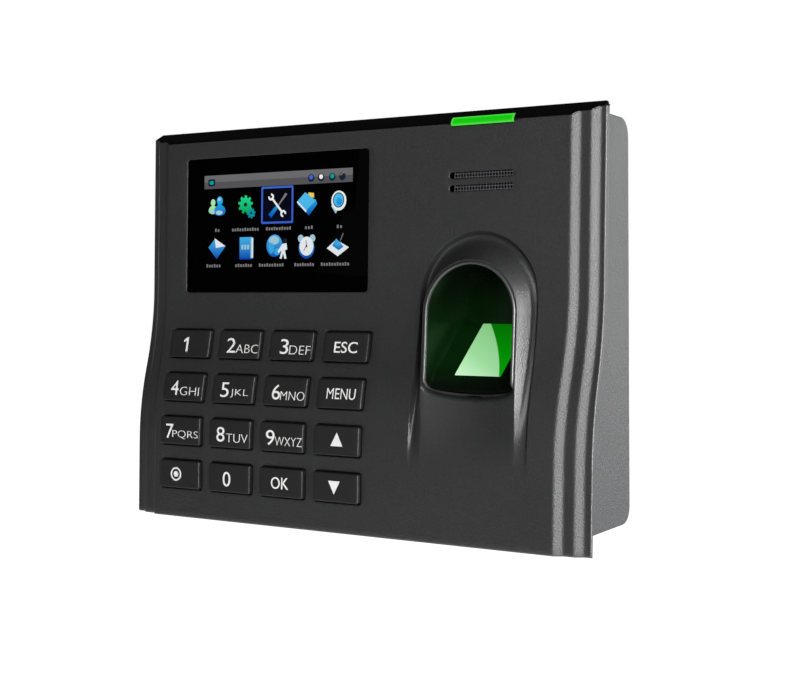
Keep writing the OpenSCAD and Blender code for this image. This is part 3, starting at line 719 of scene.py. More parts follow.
def top_trim():
    """The glossy strip on the top slope: its front edge follows the flutes, so it tapers to both ends."""
    reach = HALF_W - 0.55
    ends = [0, 0.05, 0.15, 0.35, 0.65, 1.0, 1.25] + steps(1.6, 5.1, 0.5) + [6, 7.05] + steps(7.4, 11.6, 0.6)
    xs = [-reach + s for s in ends] + steps(-reach + 13, reach - 13, 6) + [reach - s for s in ends[::-1]]
    loops = []
    for x in xs:
        d = flute_depth(reach - abs(x) + RIM_ROUND)
        front_z = SLOPE_Z + d / SLOPE_RATIO
        end = round_drop(reach - abs(x), 1.0)
        loop = [(FACE_Y + d, front_z - TRIM_BAND + 0.04),
                (FACE_Y + d, front_z - TRIM_ROUND - end * 0.15),
                (FACE_Y + d + TRIM_ROUND * 0.3, front_z - TRIM_ROUND * 0.35 - end * 0.2)]
        for t in (0.06, 0.3, 0.6, 0.94):
            y = mix(FACE_Y + d, FACE_Y + RIM_D - 0.06, t)
            loop.append((y, SLOPE_Z + (y - FACE_Y) / SLOPE_RATIO - end * mix(0.25, 1, t)))
        loop.append((FACE_Y + RIM_D - 0.03, SLOPE_BACK_Z - 0.08 - end))
        loop.append((FACE_Y + RIM_D - 0.03, SLOPE_BACK_Z - TRIM_SEAT - 0.1))
        loop.append((FACE_Y + d + 0.3, front_z - TRIM_BAND - 0.1))
        loops.append([(x, y, z) for y, z in loop])
    piece("top_trim_strip", *loft(loops), gloss_black, "terminal", "gloss_black", ("top_trim",), 25)


BAR_PALE_Z = (65.95, 67.35)           # the bar turns paler below and above these heights
BAR_PALE_END = 1.0                    # and this near its ends
BAR_FADE = 0.5


def light_bar_material():
    """A lit green light guide, paler along its edges, where the light leaves it."""
    m, tree, shader = new_material("led_green")
    _, subtract, _, divide = arithmetic(tree)
    low, high = box_mm("status_light_bar")
    x, _, z = place(tree)
    out = maths(tree, "ABSOLUTE", subtract(x, (low.x + high.x) / 2 * MM), 0.0)
    end = divide(subtract(out, ((high.x - low.x) / 2 - BAR_PALE_END) * MM), BAR_FADE * MM, True)
    top = divide(subtract(z, BAR_PALE_Z[1] * MM), BAR_FADE * MM, True)
    base = divide(subtract(BAR_PALE_Z[0] * MM, z), BAR_FADE * MM, True)
    edge = maths(tree, "MAXIMUM", maths(tree, "MAXIMUM", end, top), base)
    feed(tree, shader, {
        "Emission Color": ramp(tree, edge, [(0.0, (0.006, 0.56, 0.003)), (1.0, (0.075, 0.72, 0.055))]),
        "Emission Strength": 1.0, "Base Color": (0.0003, 0.012, 0.0002), "Roughness": 0.35})
    return m


def light_bar():
    """The lit bar between its end plates: a little proud of the trim, it leans back over the top edge."""
    low, high = box_mm("status_light_bar")
    middle, half = (low.x + high.x) / 2, (high.x - low.x) / 2 - 0.1
    profile = [(-31.6, 65.35), (-32.05, 65.42), (-32.14, 65.7), (-32.1, 66.3), (-31.7, 67.05),
               (-31.3, 67.6), (-31.0, 67.9), (-30.7, 68.05), (-30.35, 68.1), (-30.15, 67.95),
               (-30.15, 66.4), (-30.9, 65.35)]
    centre = (-31.1, 66.6)
    loops = []
    for x, share in ((-half, 0.94), (-half + 0.03, 0.965), (-half + 0.1, 0.985), (-half + 0.2, 1.0)):
        loops.append([(middle + x, mix(centre[0], y, share), mix(centre[1], z, share)) for y, z in profile])
    inner = steps(-half + 0.2, half - 0.2, 3)[1:-1]
    loops += [[(middle + x, y, z) for y, z in profile] for x in inner]
    loops += [[(2 * middle - x, y, z) for x, y, z in loop] for loop in loops[3::-1]]
    plates = [loft([[(sign * (half + x) + middle, y, z) for y, z in profile] for x in (0.01, 0.08)])
              for sign in (-1, 1)]
    piece("light_bar_ends", *join(plates), gloss_black, "terminal", "gloss_black", (), 60)
    piece("light_bar_lens", *loft(loops), light_bar_material(), "terminal", "green_light",
          ("status_light_bar",), 60)


def display_window():
    low, high = box_mm("display_window")
    rect = (low.x, high.x, low.z, high.z, 1.2)
    runs = (10, 6)
    loops = [[(x, high.y, z) for x, z in rounded_rect(rect, runs)]]
    for inset, drop in edge_round(0.15, 3):
        loops.append([(x, low.y + drop, z) for x, z in rounded_rect(grown(rect, -inset), runs)])
    piece("display_glass", *loft(loops), window_black, "terminal", "window_black",
          ("display_window",), 25)


def speaker_mesh():
    """Woven wire cloth: wires in both directions that pass over and under each other."""
    low, high = box_mm("speaker_mesh")
    pitch, r = 1.1, 0.17
    mid_y = FACE_Y + SLOT_T + 0.9
    xs = steps(SLOT_X[0] + 1.4, high.x - 0.3, pitch)
    zs = steps(low.z + 0.3, high.z - 0.3, pitch)
    corners = [math.pi / 2 * k + math.pi / 4 for k in range(4)]
    wires = []

    def wire(path, across):
        wires.append(loft([[(px + r * math.cos(a) * across[0], py + r * math.sin(a),
                             pz + r * math.cos(a) * across[1]) for a in corners] for px, py, pz in path]))

    for i, x in enumerate(xs):
        wire([(x, mid_y + r * (1 if (i + j) % 2 else -1), z) for j, z in enumerate(zs)], (1, 0))
    for j, z in enumerate(zs):
        wire([(x, mid_y - r * (1 if (i + j) % 2 else -1), z) for i, x in enumerate(xs)], (0, 1))
    felt = rounded_rect((low.x + 0.1, high.x - 0.1, low.z + 0.1, high.z - 0.1, 0.5), (1, 1))
    felt_points, felt_faces = loft([[(x, mid_y + d, z) for x, z in felt] for d in (0.9, 0.5)])
    piece("speaker_felt", felt_points, felt_faces, window_black, "terminal", "liner_black")
    piece("speaker_cloth", *join(wires), mesh_wire, "terminal", "mesh_metal", ("speaker_mesh",), 60)


top_trim()
light_bar()
display_window()
speaker_mesh()

# ---------------------------------------------------------------- finger recess

LINER_R = 16.6            # outside of the liner
LIP_R = 16.1              # crest of its lip
BORE_R = 15.6             # inside of its lip
FLOOR_R = 14.8            # where its walls meet its floor
LOW_ARC = 2.3             # drop of the lower arc at BORE_R
BACK_Y = -13.1            # back of the recess
PLATEN_TILT = math.radians(41.6)
PLATEN_Y, PLATEN_Z = -22.55, -7.1     # middle of the platen's face
PLATEN_W, PLATEN_L = 16.8, 25.2       # its width and its sloping length
PLATEN_RISE = PLATEN_L * math.sin(PLATEN_TILT)
PLATEN_BOX = (FX - PLATEN_W / 2, FX + PLATEN_W / 2,
              PLATEN_Z - PLATEN_RISE / 2, PLATEN_Z + PLATEN_RISE / 2, 0.3)


def recess_outline(r):
    return arch(r, RING_Z, HOLE_SIDE_Z, LOW_ARC + r - BORE_R)


def lip_rise(z):
    """1 where the liner's lip stands proud, 0 along the low edge where the finger rolls over the cover."""
    return smooth((z - HOLE_SIDE_Z + 2.2) / 4.5)


def recess_floor(x, z):
    """Y of the floor and back of the recess, as seen from the front."""
    low = PLATEN_BOX[2] - 0.4
    slope_y = PLATEN_Y + (max(z, low) - PLATEN_Z) / math.tan(PLATEN_TILT) + 0.35
    scoop = 1.6 * smooth((abs(x - FX) - PLATEN_W / 2 - 0.3) / 6)
    bowl = 2.6 * smooth((low - 0.8 - z) / 3.5)
    y = slope_y - scoop - bowl
    blend = 1.2
    t = min(1.0, max(0.0, 0.5 + (BACK_Y - y) / (2 * blend)))
    return mix(BACK_Y, y, t) - blend * t * (1 - t)


def liner():
    """The glossy cup round the platen, as one closed shell with the platen's opening in it."""
    wall = 1.3

    def lip_y(x, z):
        rise = lip_rise(z)
        return mix(cover_y(x, z) + 3.2, ring_y(z) + 0.1, rise)

    crest = recess_outline(LINER_R)
    floor_line = recess_outline(FLOOR_R)
    end_y = [recess_floor(x, z) for x, z in floor_line]
    lip_w = (LINER_R - BORE_R) / 2
    lip = [[(x, lip_y(x, z) + 0.9, z) for x, z in crest]]
    for k in range(9):
        a = math.pi * k / 8
        ring = recess_outline(LIP_R + lip_w * math.cos(a))
        lip.append([(x, lip_y(x, z) - (0.1 + 0.45 * lip_rise(z)) * math.sin(a), z) for x, z in ring])
    lip.append([(x, lip_y(x, z) + 0.9, z) for x, z in recess_outline(BORE_R)])
    piece("sensor_lip", *ring_loft(lip), lip_plastic, "terminal", "liner_black", (), 50)

    loops = [[(x, y + wall, z) for (x, z), y in zip(floor_line, end_y)],
             [(x, y + wall, z) for (x, z), y in zip(crest, end_y)],
             [(x, lip_y(x, z) + 0.6, z) for x, z in crest]]
    top = [lip_y(x, z) + 0.6 for x, z in recess_outline(BORE_R)]
    for t in (0, 0.04, 0.15, 0.3, 0.45, 0.6, 0.75, 0.86, 0.93, 0.975):
        ring = recess_outline(mix(BORE_R, FLOOR_R + 0.5, t) - 0.5 * smooth((t - 0.8) / 0.2))
        loops.append([(x, mix(y0, y1, t), z) for (x, z), y0, y1 in zip(ring, top, end_y)])
    loops.append([(x, y, z) for (x, z), y in zip(floor_line, end_y)])
    points, faces = loft(loops, cap_start=False, cap_end=False)

    opening = rounded_rect(grown(PLATEN_BOX, 0.1), (14, 14))
    inside = []
    for x in steps(FX - FLOOR_R, FX + FLOOR_R, 1.3):
        for z in steps(HOLE_SIDE_Z - LOW_ARC, RING_Z + FLOOR_R, 1.1):
            deep = arch_distance(x, z, FLOOR_R - 0.7, RING_Z) < 0
            clear = rect_distance(x, z, PLATEN_BOX) > 0.7
            across = (x - FX) / (FLOOR_R - 0.5)
            low_edge = HOLE_SIDE_Z - (LOW_ARC - 1.6) * math.sqrt(max(0, 1 - across ** 2))
            if deep and clear and z > low_edge:
                inside.append((x, z))
    flat, triangles = triangulate(floor_line, inside, (opening,))
    kept = []
    for t in triangles:
        x, z = (sum(flat[i][k] for i in t) / 3 for k in (0, 1))
        if rect_distance(x, z, grown(PLATEN_BOX, 0.1)) > 0:
            kept.append(t)
    n = len(floor_line)
    last = len(points) - n
    front = {i: last + i if i < n else len(points) + i - n for i in range(len(flat))}
    points += [(x, recess_floor(x, z), z) for x, z in flat[n:]]
    back = {i: i if i < n else len(points) + i - n for i in range(len(flat))}
    points += [(x, recess_floor(x, z) + wall, z) for x, z in flat[n:]]
    faces += [tuple(front[i] for i in t) for t in kept]
    faces += [tuple(back[i] for i in reversed(t)) for t in kept]
    hole = list(range(n, n + len(opening)))
    faces += [(front[a], front[b], back[b], back[a]) for a, b in zip(hole, hole[1:] + hole[:1])]
    piece("sensor_liner", points, faces, liner_material(), "terminal", "liner_black",
          ("sensor_bezel",), 50)


def platen_material():
    """Lit glass: pale where the lamp's light comes straight out, deep green beyond a curved edge."""
    m, tree, shader = new_material("platen_glass")
    add, subtract, multiply, divide = arithmetic(tree)
    at_x, _, at_z = place(tree)
    across = divide(subtract(at_x, PLATEN_BOX[0] * MM), PLATEN_W * MM)
    up = divide(subtract(at_z, PLATEN_BOX[2] * MM), PLATEN_RISE * MM)
    fall = add(multiply(up, 0.52), multiply(multiply(up, up), 0.28))
    beyond = add(across, subtract(fall, 0.97))
    edge = multiply(add(beyond, 0.008), 60, True)
    reach = add(multiply(up, 0.75), multiply(across, 0.35), True)
    pale = ramp(tree, reach, [(0.0, (0.60, 0.92, 0.60)), (0.35, (0.34, 0.70, 0.34)),
                              (1.0, (0.16, 0.50, 0.15))])
    deep = ramp(tree, up, [(0.0, (0.001, 0.33, 0.001)), (1.0, (0.001, 0.15, 0.001))])
    both = new_node(tree, "Mix")
    both.data_type = "RGBA"
    feed(tree, both, {"Factor": edge, "A": pale, "B": deep})
    haze = noise(tree, 300, 2.0)
    feed(tree, shader, {
        "Emission Color": both.outputs["Result"], "Emission Strength": 1.0,
        "Base Color": (0.004, 0.02, 0.005), "Roughness": grey_ramp(tree, haze, 0.1, 0.16)})
    return m


LIT_TOP, LIT_LOW, LIT_RIGHT = 18, -21, FX + 15        # the liner's painted green glow ends here
LIT_FADE = (22, 20, 10)                               # and fades over these lengths: right, top and low


def liner_material():
    """Glossy black with a painted green glow, a painted reflection of the platen's light, that fades away
    from the platen.
    """
    m, tree, shader = new_material("liner_black")
    add, subtract, multiply, divide = arithmetic(tree)
    at_x, _, at_z = place(tree)
    right_fade, top_fade, low_fade = (fade * MM for fade in LIT_FADE)
    height = divide(subtract(LIT_TOP * MM, at_z), top_fade, True)
    low = divide(subtract(at_z, LIT_LOW * MM), low_fade, True)
    side = divide(subtract(LIT_RIGHT * MM, at_x), right_fade, True)
    cloud = noise(tree, 90, 2.0)
    # painted light: emission on the liner's walls stands in for the platen's green light falling on them
    amount = multiply(multiply(multiply(height, low), side), add(cloud, 0.5))
    feed(tree, shader, {
        "Emission Color": ramp(tree, amount, [(0.0, (0.0, 0.0006, 0.0)), (1.0, (0.0003, 0.0125, 0.0004))]),
        "Emission Strength": 1.0, "Base Color": grey_ramp(tree, cloud, 0.002, 0.003),
        "Roughness": grey_ramp(tree, cloud, 0.22, 0.3), "Specular IOR Level": 0.12})
    return m


liner()
rounded_copy("sensor_prism", 0.25, platen_material(), "terminal")

# ---------------------------------------------------------------- keys

KEY_PROUD = 1.3           # how far the keys stand in front of the face
KEY_ROUND = 0.32
FLANGE_T = 1.1
STEM_R = 2.4
LEGEND_T = 0.05           # half the thickness of the printed marks
LEGEND_SHIFT = 0.056      # as a share of the key's width
DIGIT_LOW, DIGIT_HIGH = 2.0, 7.2      # heights above a key's lower edge
LETTER_LOW, LETTER_HIGH = 2.0, 5.0


def key_front(x, z):
    """Y of the keys' front faces."""
    return face_y(z, -KEY_PROUD)


def keycap(name):
    rect = key_rect(name)
    flange = key_rect(name, KEY_LIP)
    low, high = box_mm(name)
    flange_y = face_y(flange[3]) + PLATE_T + 0.25
    mid_x, mid_z = (rect[0] + rect[1]) / 2, (rect[2] + rect[3]) / 2
    runs = (12, 8)

    def ring(shape, y_of):
        return [(x, y_of(x, z), z) for x, z in rounded_rect(shape, runs, 4)]

    def stem(y):
        out = []
        for x, z in rounded_rect(flange, runs, 4):
            n = math.hypot(x - mid_x, z - mid_z)
            out.append((mid_x + STEM_R * (x - mid_x) / n, y, mid_z + STEM_R * (z - mid_z) / n))
        return out

    back_y = flange_y + FLANGE_T
    loops = [stem(high.y), stem(back_y), ring(flange, lambda x, z: back_y),
             ring(flange, lambda x, z: flange_y), ring(rect, lambda x, z: flange_y)]
    for inset, drop in edge_round(KEY_ROUND):
        loops.append(ring(grown(rect, -inset), lambda x, z: face_y(z, drop - KEY_PROUD)))
    top = grown(rect, -KEY_ROUND)
    inside = rect_grid(top, 0.5, 1.6, 0.8)
    points, faces = with_front(loops, rounded_rect(top, runs, 4), inside, key_front)
    piece(name + "_cap", points, faces, key_plastic, name, "key_plastic", (name,), 50)


def letters(text, low_x, high_x, low_z, high_z, weight):
    """Points and faces of solid lettering that fills a box on the keys' front, drawn bolder by weight."""
    curve = bpy.data.curves.new("lettering", "FONT")
    curve.body = text
    curve.extrude = 0.01
    curve.offset = weight
    curve.resolution_u = 5
    o = add_object("lettering", curve)
    bpy.context.view_layer.update()
    mesh = bpy.data.meshes.new_from_object(o.evaluated_get(bpy.context.evaluated_depsgraph_get()))
    bm = bmesh.new()
    bm.from_mesh(mesh)
    bmesh.ops.remove_doubles(bm, verts=bm.verts, dist=1e-5)
    bm.to_mesh(mesh)
    bm.free()
    bpy.data.objects.remove(o)
    bpy.data.curves.remove(curve)
    xs = [v.co.x for v in mesh.vertices]
    ys = [v.co.y for v in mesh.vertices]
    points = []
    for v in mesh.vertices:
        x = mix(low_x, high_x, (v.co.x - min(xs)) / (max(xs) - min(xs)))
        z = mix(low_z, high_z, (v.co.y - min(ys)) / (max(ys) - min(ys)))
        points.append((x, key_front(x, z) - math.copysign(LEGEND_T, v.co.z), z))
    faces = [tuple(f.vertices) for f in mesh.polygons]
    bpy.data.meshes.remove(mesh)
    return points, faces


def slab(outline, y_of, thickness):
    """A thin solid over an outline, from y_of(x, z) - thickness to y_of(x, z) + thickness."""
    return loft([[(x, y_of(x, z) + side * thickness, z) for x, z in outline] for side in (1, -1)])


def disc(cx, cz, rx, rz=None, count=28, start=0.0, end=360.0):
    rz = rz or rx
    whole = end - start >= 360
    n = count if whole else count + 1
    return [(cx + rx * math.cos(math.radians(start + (end - start) * i / count)),
             cz + rz * math.sin(math.radians(start + (end - start) * i / count))) for i in range(n)]


def ring_slab(outer, inner, y_of, thickness):
    """A flat ring: four walls round between two outlines of equal length."""
    return ring_loft([[(x, y_of(x, z) + side * thickness, z) for x, z in line]
                      for line, side in ((outer, 1), (outer, -1), (inner, -1), (inner, 1))])


# Each legend's pieces: text and its two ends, as shares of the key's width
LEGENDS = {
    "key_1": [("1", 0.29, 0.405)],
    "key_2": [("2", 0.15, 0.36), ("ABC", 0.38, 0.92)],
    "key_3": [("3", 0.20, 0.39), ("DEF", 0.42, 0.91)],
    "key_4": [("4", 0.14, 0.33), ("GHI", 0.375, 0.86)],
    "key_5": [("5", 0.155, 0.355), ("JKL", 0.40, 0.83)],
    "key_6": [("6", 0.157, 0.35), ("MNO", 0.36, 0.92)],
    "key_7": [("7", 0.09, 0.28), ("PQRS", 0.26, 0.91)],
    "key_8": [("8", 0.13, 0.33), ("TUV", 0.37, 0.895)],
    "key_9": [("9", 0.086, 0.29), ("WXYZ", 0.30, 0.93)],
    "key_0": [("0", 0.30, 0.49)],
}
WORDS = {"key_esc": ("ESC", 0.20, 0.72, 2.9, 6.7), "key_menu": ("MENU", 0.17, 0.81, 3.1, 6.7),
         "key_ok": ("OK", 0.22, 0.63, 2.7, 6.8)}


def legend(name):
    rect = key_rect(name)
    width, base = rect[1] - rect[0], rect[2]

    def share(t):
        return rect[0] + (t + LEGEND_SHIFT) * width

    def flat(*outline):
        """A flat mark from points of (share of the width, height above the key's lower edge)."""
        return slab([(share(t), base + z) for t, z in outline], key_front, LEGEND_T)

    parts = []
    for i, (text, a, b) in enumerate(LEGENDS.get(name, [])):
        low, high = (DIGIT_LOW, DIGIT_HIGH) if i == 0 else (LETTER_LOW, LETTER_HIGH)
        if text == "1":
            shape = [(0.6, 0), (1, 0), (1, 1), (0.72, 1), (0, 0.8), (0, 0.66), (0.6, 0.76)]
            parts.append(flat(*[(mix(a, b, u), mix(low, high, v)) for u, v in shape]))
        else:
            weight = 0.0 if i == 0 else -0.018
            parts.append(letters(text, share(a), share(b), base + low, base + high, weight))
    if name in WORDS:
        text, a, b, low, high = WORDS[name]
        weight = -0.004 if text == "MENU" else 0.004
        parts.append(letters(text, share(a), share(b), base + low, base + high, weight))
    if name == "key_up":
        parts.append(flat((0.33, 3.1), (0.60, 3.1), (0.465, 7.7)))
    if name == "key_down":
        parts.append(flat((0.42, 2.6), (0.55, 7.1), (0.29, 7.1)))
    if name == "key_power":
        x, z = share(0.365), base + 4.9
        parts.append(ring_slab(disc(x, z, 2.45), disc(x, z, 1.85), key_front, LEGEND_T))
        parts.append(slab(disc(x, z, 1.05), key_front, LEGEND_T))
    piece(name + "_legend", *join(parts), legend_white, name, "key_plastic", (), 30)


for key in KEYS:
    keycap(key)
    legend(key)

# ---------------------------------------------------------------- what the display shows

SCREEN_Y = FACE_Y + 0.05              # just inside the window's front
LAYER_T = 0.012                       # each layer of the picture is this much thicker than the one under it
COLUMNS = [-58.2, -44.8, -31.3, -18.4, -5.2]
ROW_1, ROW_2 = 42.0, 27.3
SCREEN_SPAN = (37, 20)                # middle and half height of the part of the screen that is shaded
ICON_HALF = 4


def lit(name, low, high, row=None):
    """A screen colour, shaded from the bottom to the top of the screen, or of the icons in one row."""
    m, tree, shader = new_material("screen_" + name)
    middle, half = (row, ICON_HALF) if row else SCREEN_SPAN
    scale = new_node(tree, "MapRange", {"Value": place(tree)["Z"], "From Min": (middle - half) * MM,
                                        "From Max": (middle + half) * MM})
    feed(tree, shader, {
        "Emission Color": ramp(tree, scale.outputs["Result"], [(0.0, low), (1.0, high)]),
        "Emission Strength": 1.0, "Base Color": (0.002, 0.002, 0.002), "Roughness": 0.1})
    return m


# Each screen colour at the bottom and at the top, and the row of icons that it is shaded over
SCREEN = {
    "white": ((0.70, 0.76, 0.78), (0.85, 0.86, 0.86)),
    "pale": ((0.28, 0.50, 0.62), (0.45, 0.62, 0.68)),
    "grey": ((0.075, 0.075, 0.08), (0.085, 0.085, 0.09)),
    "bar_top": ((0.13, 0.13, 0.135), (0.14, 0.14, 0.145)),
    "dim": ((0.17, 0.17, 0.17), (0.20, 0.20, 0.20)),
    "dark": ((0.006, 0.012, 0.02), (0.008, 0.016, 0.03)),
    "frame": ((0.03, 0.09, 0.55), (0.05, 0.13, 0.62)),
    "frame_in": ((0.0, 0.001, 0.012), (0.0, 0.0, 0.003), ROW_1),
    "blue_1": ((0.0, 0.08, 0.45), (0.02, 0.48, 0.88), ROW_1),
    "blue_2": ((0.0, 0.06, 0.40), (0.05, 0.42, 0.80), ROW_2),
    "sky": ((0.02, 0.30, 0.66), (0.10, 0.55, 0.86)),
    "teal": ((0.0, 0.20, 0.28), (0.0, 0.34, 0.36)),
    "green": ((0.0, 0.26, 0.08), (0.01, 0.68, 0.25), ROW_1),
    "lime": ((0.20, 0.62, 0.28), (0.48, 0.85, 0.42), ROW_1),
    "amber": ((0.75, 0.45, 0.05), (0.85, 0.60, 0.10)),
    "red": ((0.6, 0.03, 0.03), (0.6, 0.03, 0.03)),
}


def box(x0, x1, z0, z1, r=0.25):
    return rounded_rect((x0, x1, z0, z1, r), (1, 1), 3)


def bar_line(x0, z0, x1, z1, w0, w1=None):
    """A straight stroke with its own width at each end."""
    w1 = w1 or w0
    n = math.hypot(x1 - x0, z1 - z0)
    nx, nz = -(z1 - z0) / n / 2, (x1 - x0) / n / 2
    return [(x0 - nx * w0, z0 - nz * w0), (x1 - nx * w1, z1 - nz * w1),
            (x1 + nx * w1, z1 + nz * w1), (x0 + nx * w0, z0 + nz * w0)]


def gear(cx, cz, r, teeth):
    """Outline of a toothed wheel."""
    out = []
    for i in range(teeth):
        for share, radius in ((0.0, r), (0.38, r), (0.5, r * 0.76), (0.88, r * 0.76)):
            a = 2 * math.pi * (i + share) / teeth
            out.append((cx + radius * math.cos(a), cz + radius * math.sin(a)))
    return out


# The pictures are lists of (colour, layer, outline), with a second outline where there is a hole.
# An icon is drawn round its own middle.

def status_bar():
    shapes = [("grey", 1, box(-64.4, 0.65, 48.8, 53.6, 0.1)),
              ("bar_top", 2, box(-64.4, 0.65, 51.2, 53.6, 0.1)),
              ("dark", 3, box(-62.6, -59.4, 49.7, 52.3, 0.6)), ("teal", 4, disc(-61, 51, 1.0, 0.7))]
    for x, colour in ((-16.7, "frame"), (-12.5, "white"), (-7.8, "teal"), (-3.6, "dark")):
        shapes += [("dark", 3, disc(x, 50.8, 1.35)), (colour, 4, disc(x, 51.1, 0.8))]
    return shapes + [("dim", 5, bar_line(-4.4, 51.2, -2.8, 52.4, 0.35))]


def people():
    shapes = []
    for colour, x, size, layer in (("lime", -2.1, 0.78, 1), ("blue_1", 1.0, 1.0, 2)):
        low = -1.5 * size
        shapes += [(colour, layer, disc(x, 2.3 * size, 1.35 * size, 1.6 * size)),
                   (colour, layer, disc(x, low, 2.6 * size, 2.4 * size, 24, 0, 180)),
                   (colour, layer, disc(x, low, 2.6 * size, 1.5 * size, 24, 180, 360)),
                   ("pale", layer + 1, disc(x - 0.2, -1.9 * size, 1.6 * size, 0.8 * size)),
                   ("pale", layer + 1, disc(x - 0.2, 2.9 * size, 0.7 * size, 0.55 * size))]
    return shapes


def gears():
    return [("green", 2, gear(-0.6, 0.6, 3.3, 9)), ("dark", 3, disc(-0.6, 0.6, 0.75)),
            ("teal", 1, gear(2.0, -2.5, 1.9, 8)), ("dark", 2, disc(2.0, -2.5, 0.5))]


def tools():
    shapes = [("frame_in", 1, box(-6.6, 6.6, -6.1, 6.2)),
              ("frame", 2, box(-7, 7, -6.5, 6.6, 0.5), box(-6.3, 6.3, -5.8, 5.9, 0.3)),
              ("dim", 3, bar_line(0.3, -0.4, 4.0, 3.9, 0.45, 0.9)),
              ("blue_1", 3, bar_line(-3.2, -3.9, 0.4, -0.2, 1.7, 1.2)),
              ("white", 4, bar_line(-2.4, 2.6, 2.4, -2.8, 0.75))]
    for x, z, turn in ((-2.7, 2.9, 130), (2.7, -3.1, -50)):
        outer, inner = (disc(x, z, r, r, 20, turn + 40, turn + 320) for r in (1.25, 0.55))
        shapes.append(("white", 4, outer + inner[::-1]))
    return shapes


def folder():
    return [("amber", 1, [(0.6, 3.9), (2.9, 3.6), (3.0, 2.0), (0.5, 2.2)]),
            ("blue_1", 2, [(-4.2, 0.1), (0.9, -4.1), (4.3, -0.3), (3.7, 1.4), (1.0, 1.4)]),
            ("white", 3, [(-4.3, 0.6), (-0.4, -3.0), (-0.1, -2.5), (-4.0, 1.1)]),
            ("sky", 4, [(-3.9, 1.2), (-0.2, -2.3), (3.7, 1.0), (-0.8, 4.0)])]


def lens_icon():
    return [("pale", 1, [(-2.9, -1.2), (-1.0, -3.8), (-0.2, -2.4), (-2.4, -0.4)]),
            ("white", 2, disc(0.2, 0.6, 3.1, 3.4)), ("dark", 3, disc(0.1, 0.8, 2.35, 2.6)),
            ("sky", 4, disc(0.1, 0.8, 2.0, 2.25)), ("blue_1", 5, disc(0.4, 0.4, 1.2, 1.35))]


def envelope():
    return [("blue_2", 1, [(-4.1, 0.3), (-0.2, -3.9), (3.8, 0.6), (-1.0, 3.4)]),
            ("white", 2, [(-1.2, 3.6), (3.8, 0.7), (-0.6, 0.1)])]


def book():
    marks = [("pale", 2, box(-2.3 + 1.3 * k, -1.4 + 1.3 * k, -0.7, 1.0, 0.2)) for k in range(3)]
    return [("blue_2", 1, box(-3.1, 2.7, -4.2, 3.7)), ("pale", 2, box(1.9, 3.1, -3.8, 3.5)),
            ("white", 3, box(2.4, 2.9, -3.6, 3.2, 0.1))] + marks


def globe():
    return [("blue_2", 1, disc(-1.0, 0.4, 3.5, 3.9)), ("pale", 2, disc(-1.2, 2.3, 2.2, 1.5)),
            ("sky", 3, disc(-2.4, -0.4, 1.2, 1.9)), ("sky", 3, disc(0.2, -1.7, 1.3, 1.2)),
            ("dark", 3, disc(3.6, 2.0, 0.9)),
            ("white", 4, [(2.5, 1.0), (4.3, 1.2), (4.6, -1.0), (3.6, -1.2), (4.3, -4.2), (3.4, -4.2),
                          (2.8, -2.2), (2.2, -4.2), (1.3, -4.1), (2.2, -1.2), (0.9, -2.2), (0.4, -1.6)])]


def clock():
    bells = [("pale", 1, disc(side * 2.5, 2.7, 1.2, 1.3)) for side in (-1, 1)]
    return bells + [("blue_2", 2, disc(0, -0.6, 3.3, 3.7)), ("white", 3, disc(0, 0, 2.95, 3.3)),
                    ("dim", 4, bar_line(0, 0.1, -0.2, 2.0, 0.35)),
                    ("red", 4, bar_line(0.1, 0.2, -1.2, -1.6, 0.3)), ("dark", 5, disc(0, 0, 0.4))]


def tablet():
    return [("white", 1, [(-4.6, -0.9), (0, -3.7), (4.6, -0.7), (-0.8, 2.0)]),
            ("blue_2", 2, [(-2.4, 0.0), (0.4, -1.7), (2.4, -0.4), (-0.7, 2.4)]),
            ("sky", 3, [(-1.7, 0.9), (0.4, -0.4), (1.5, 0.6), (-0.7, 2.3)]),
            ("dim", 3, bar_line(1.0, 1.6, 2.2, 4.2, 0.3))]


def captions():
    """Short dashes stand where the captions are: they spell nothing."""
    spans = [(33.7, [(-59.5, -57), (-51.6, -39.2), (-36.3, -25), (-19.4, -15.6), (-6, -3.3)]),
             (20.9, [(-63.3, -56.4), (-50, -42.1), (-39.3, -28.1), (-23.7, -15), (-12.4, -0.3)])]
    shapes = []
    for z, row in spans:
        for a, b in row:
            marks = max(2, round((b - a) / 1.1))
            for k in range(marks):
                x = mix(a, b, (k + 0.5) / marks)
                tall = 0.45 + 0.2 * ((k * 7 + round(-a)) % 3 == 0)
                shapes.append(("dim", 1, box(x - 0.36, x + 0.36, z - 0.5, z + tall, 0.12)))
    return shapes


def draw(screen, shapes, cx=0.0, cz=0.0):
    """Adds a picture's solids to the screen's lists, one list per colour."""
    for colour, layer, *lines in shapes:
        lines = [[(cx + x, cz + z) for x, z in line] for line in lines]
        half = LAYER_T * layer / 2
        solid = ring_slab if len(lines) == 2 else slab
        screen.setdefault(colour, []).append(solid(*lines, lambda x, z: SCREEN_Y + 0.004 - half, half))


def display_picture():
    screen = {}
    draw(screen, status_bar())
    for row, icons in ((ROW_1, (people, gears, tools, folder, lens_icon)),
                       (ROW_2, (envelope, book, globe, clock, tablet))):
        for column, icon in zip(COLUMNS, icons):
            draw(screen, icon(), column, row)
    draw(screen, captions())
    for colour, parts in screen.items():
        material = lit(colour, *SCREEN[colour])
        piece("screen_" + colour, *join(parts), material, "terminal", "window_black", (), 30)


display_picture()

# ---------------------------------------------------------------- the rest of the terminal


CASE_DRAFT = 1.2          # each side leans out this far at the bottom and in this far at the top
CASE_TOP_UP = 1.4         # the top edge stands this much higher than in the CAD
CASE_LOW_DOWN = (1.9, 0.7)            # and the bottom edge this much lower, at the front and at the back
CASE_MOVED = 4.0          # height over which those two moves fade out
CASE_ROUND = 1.3


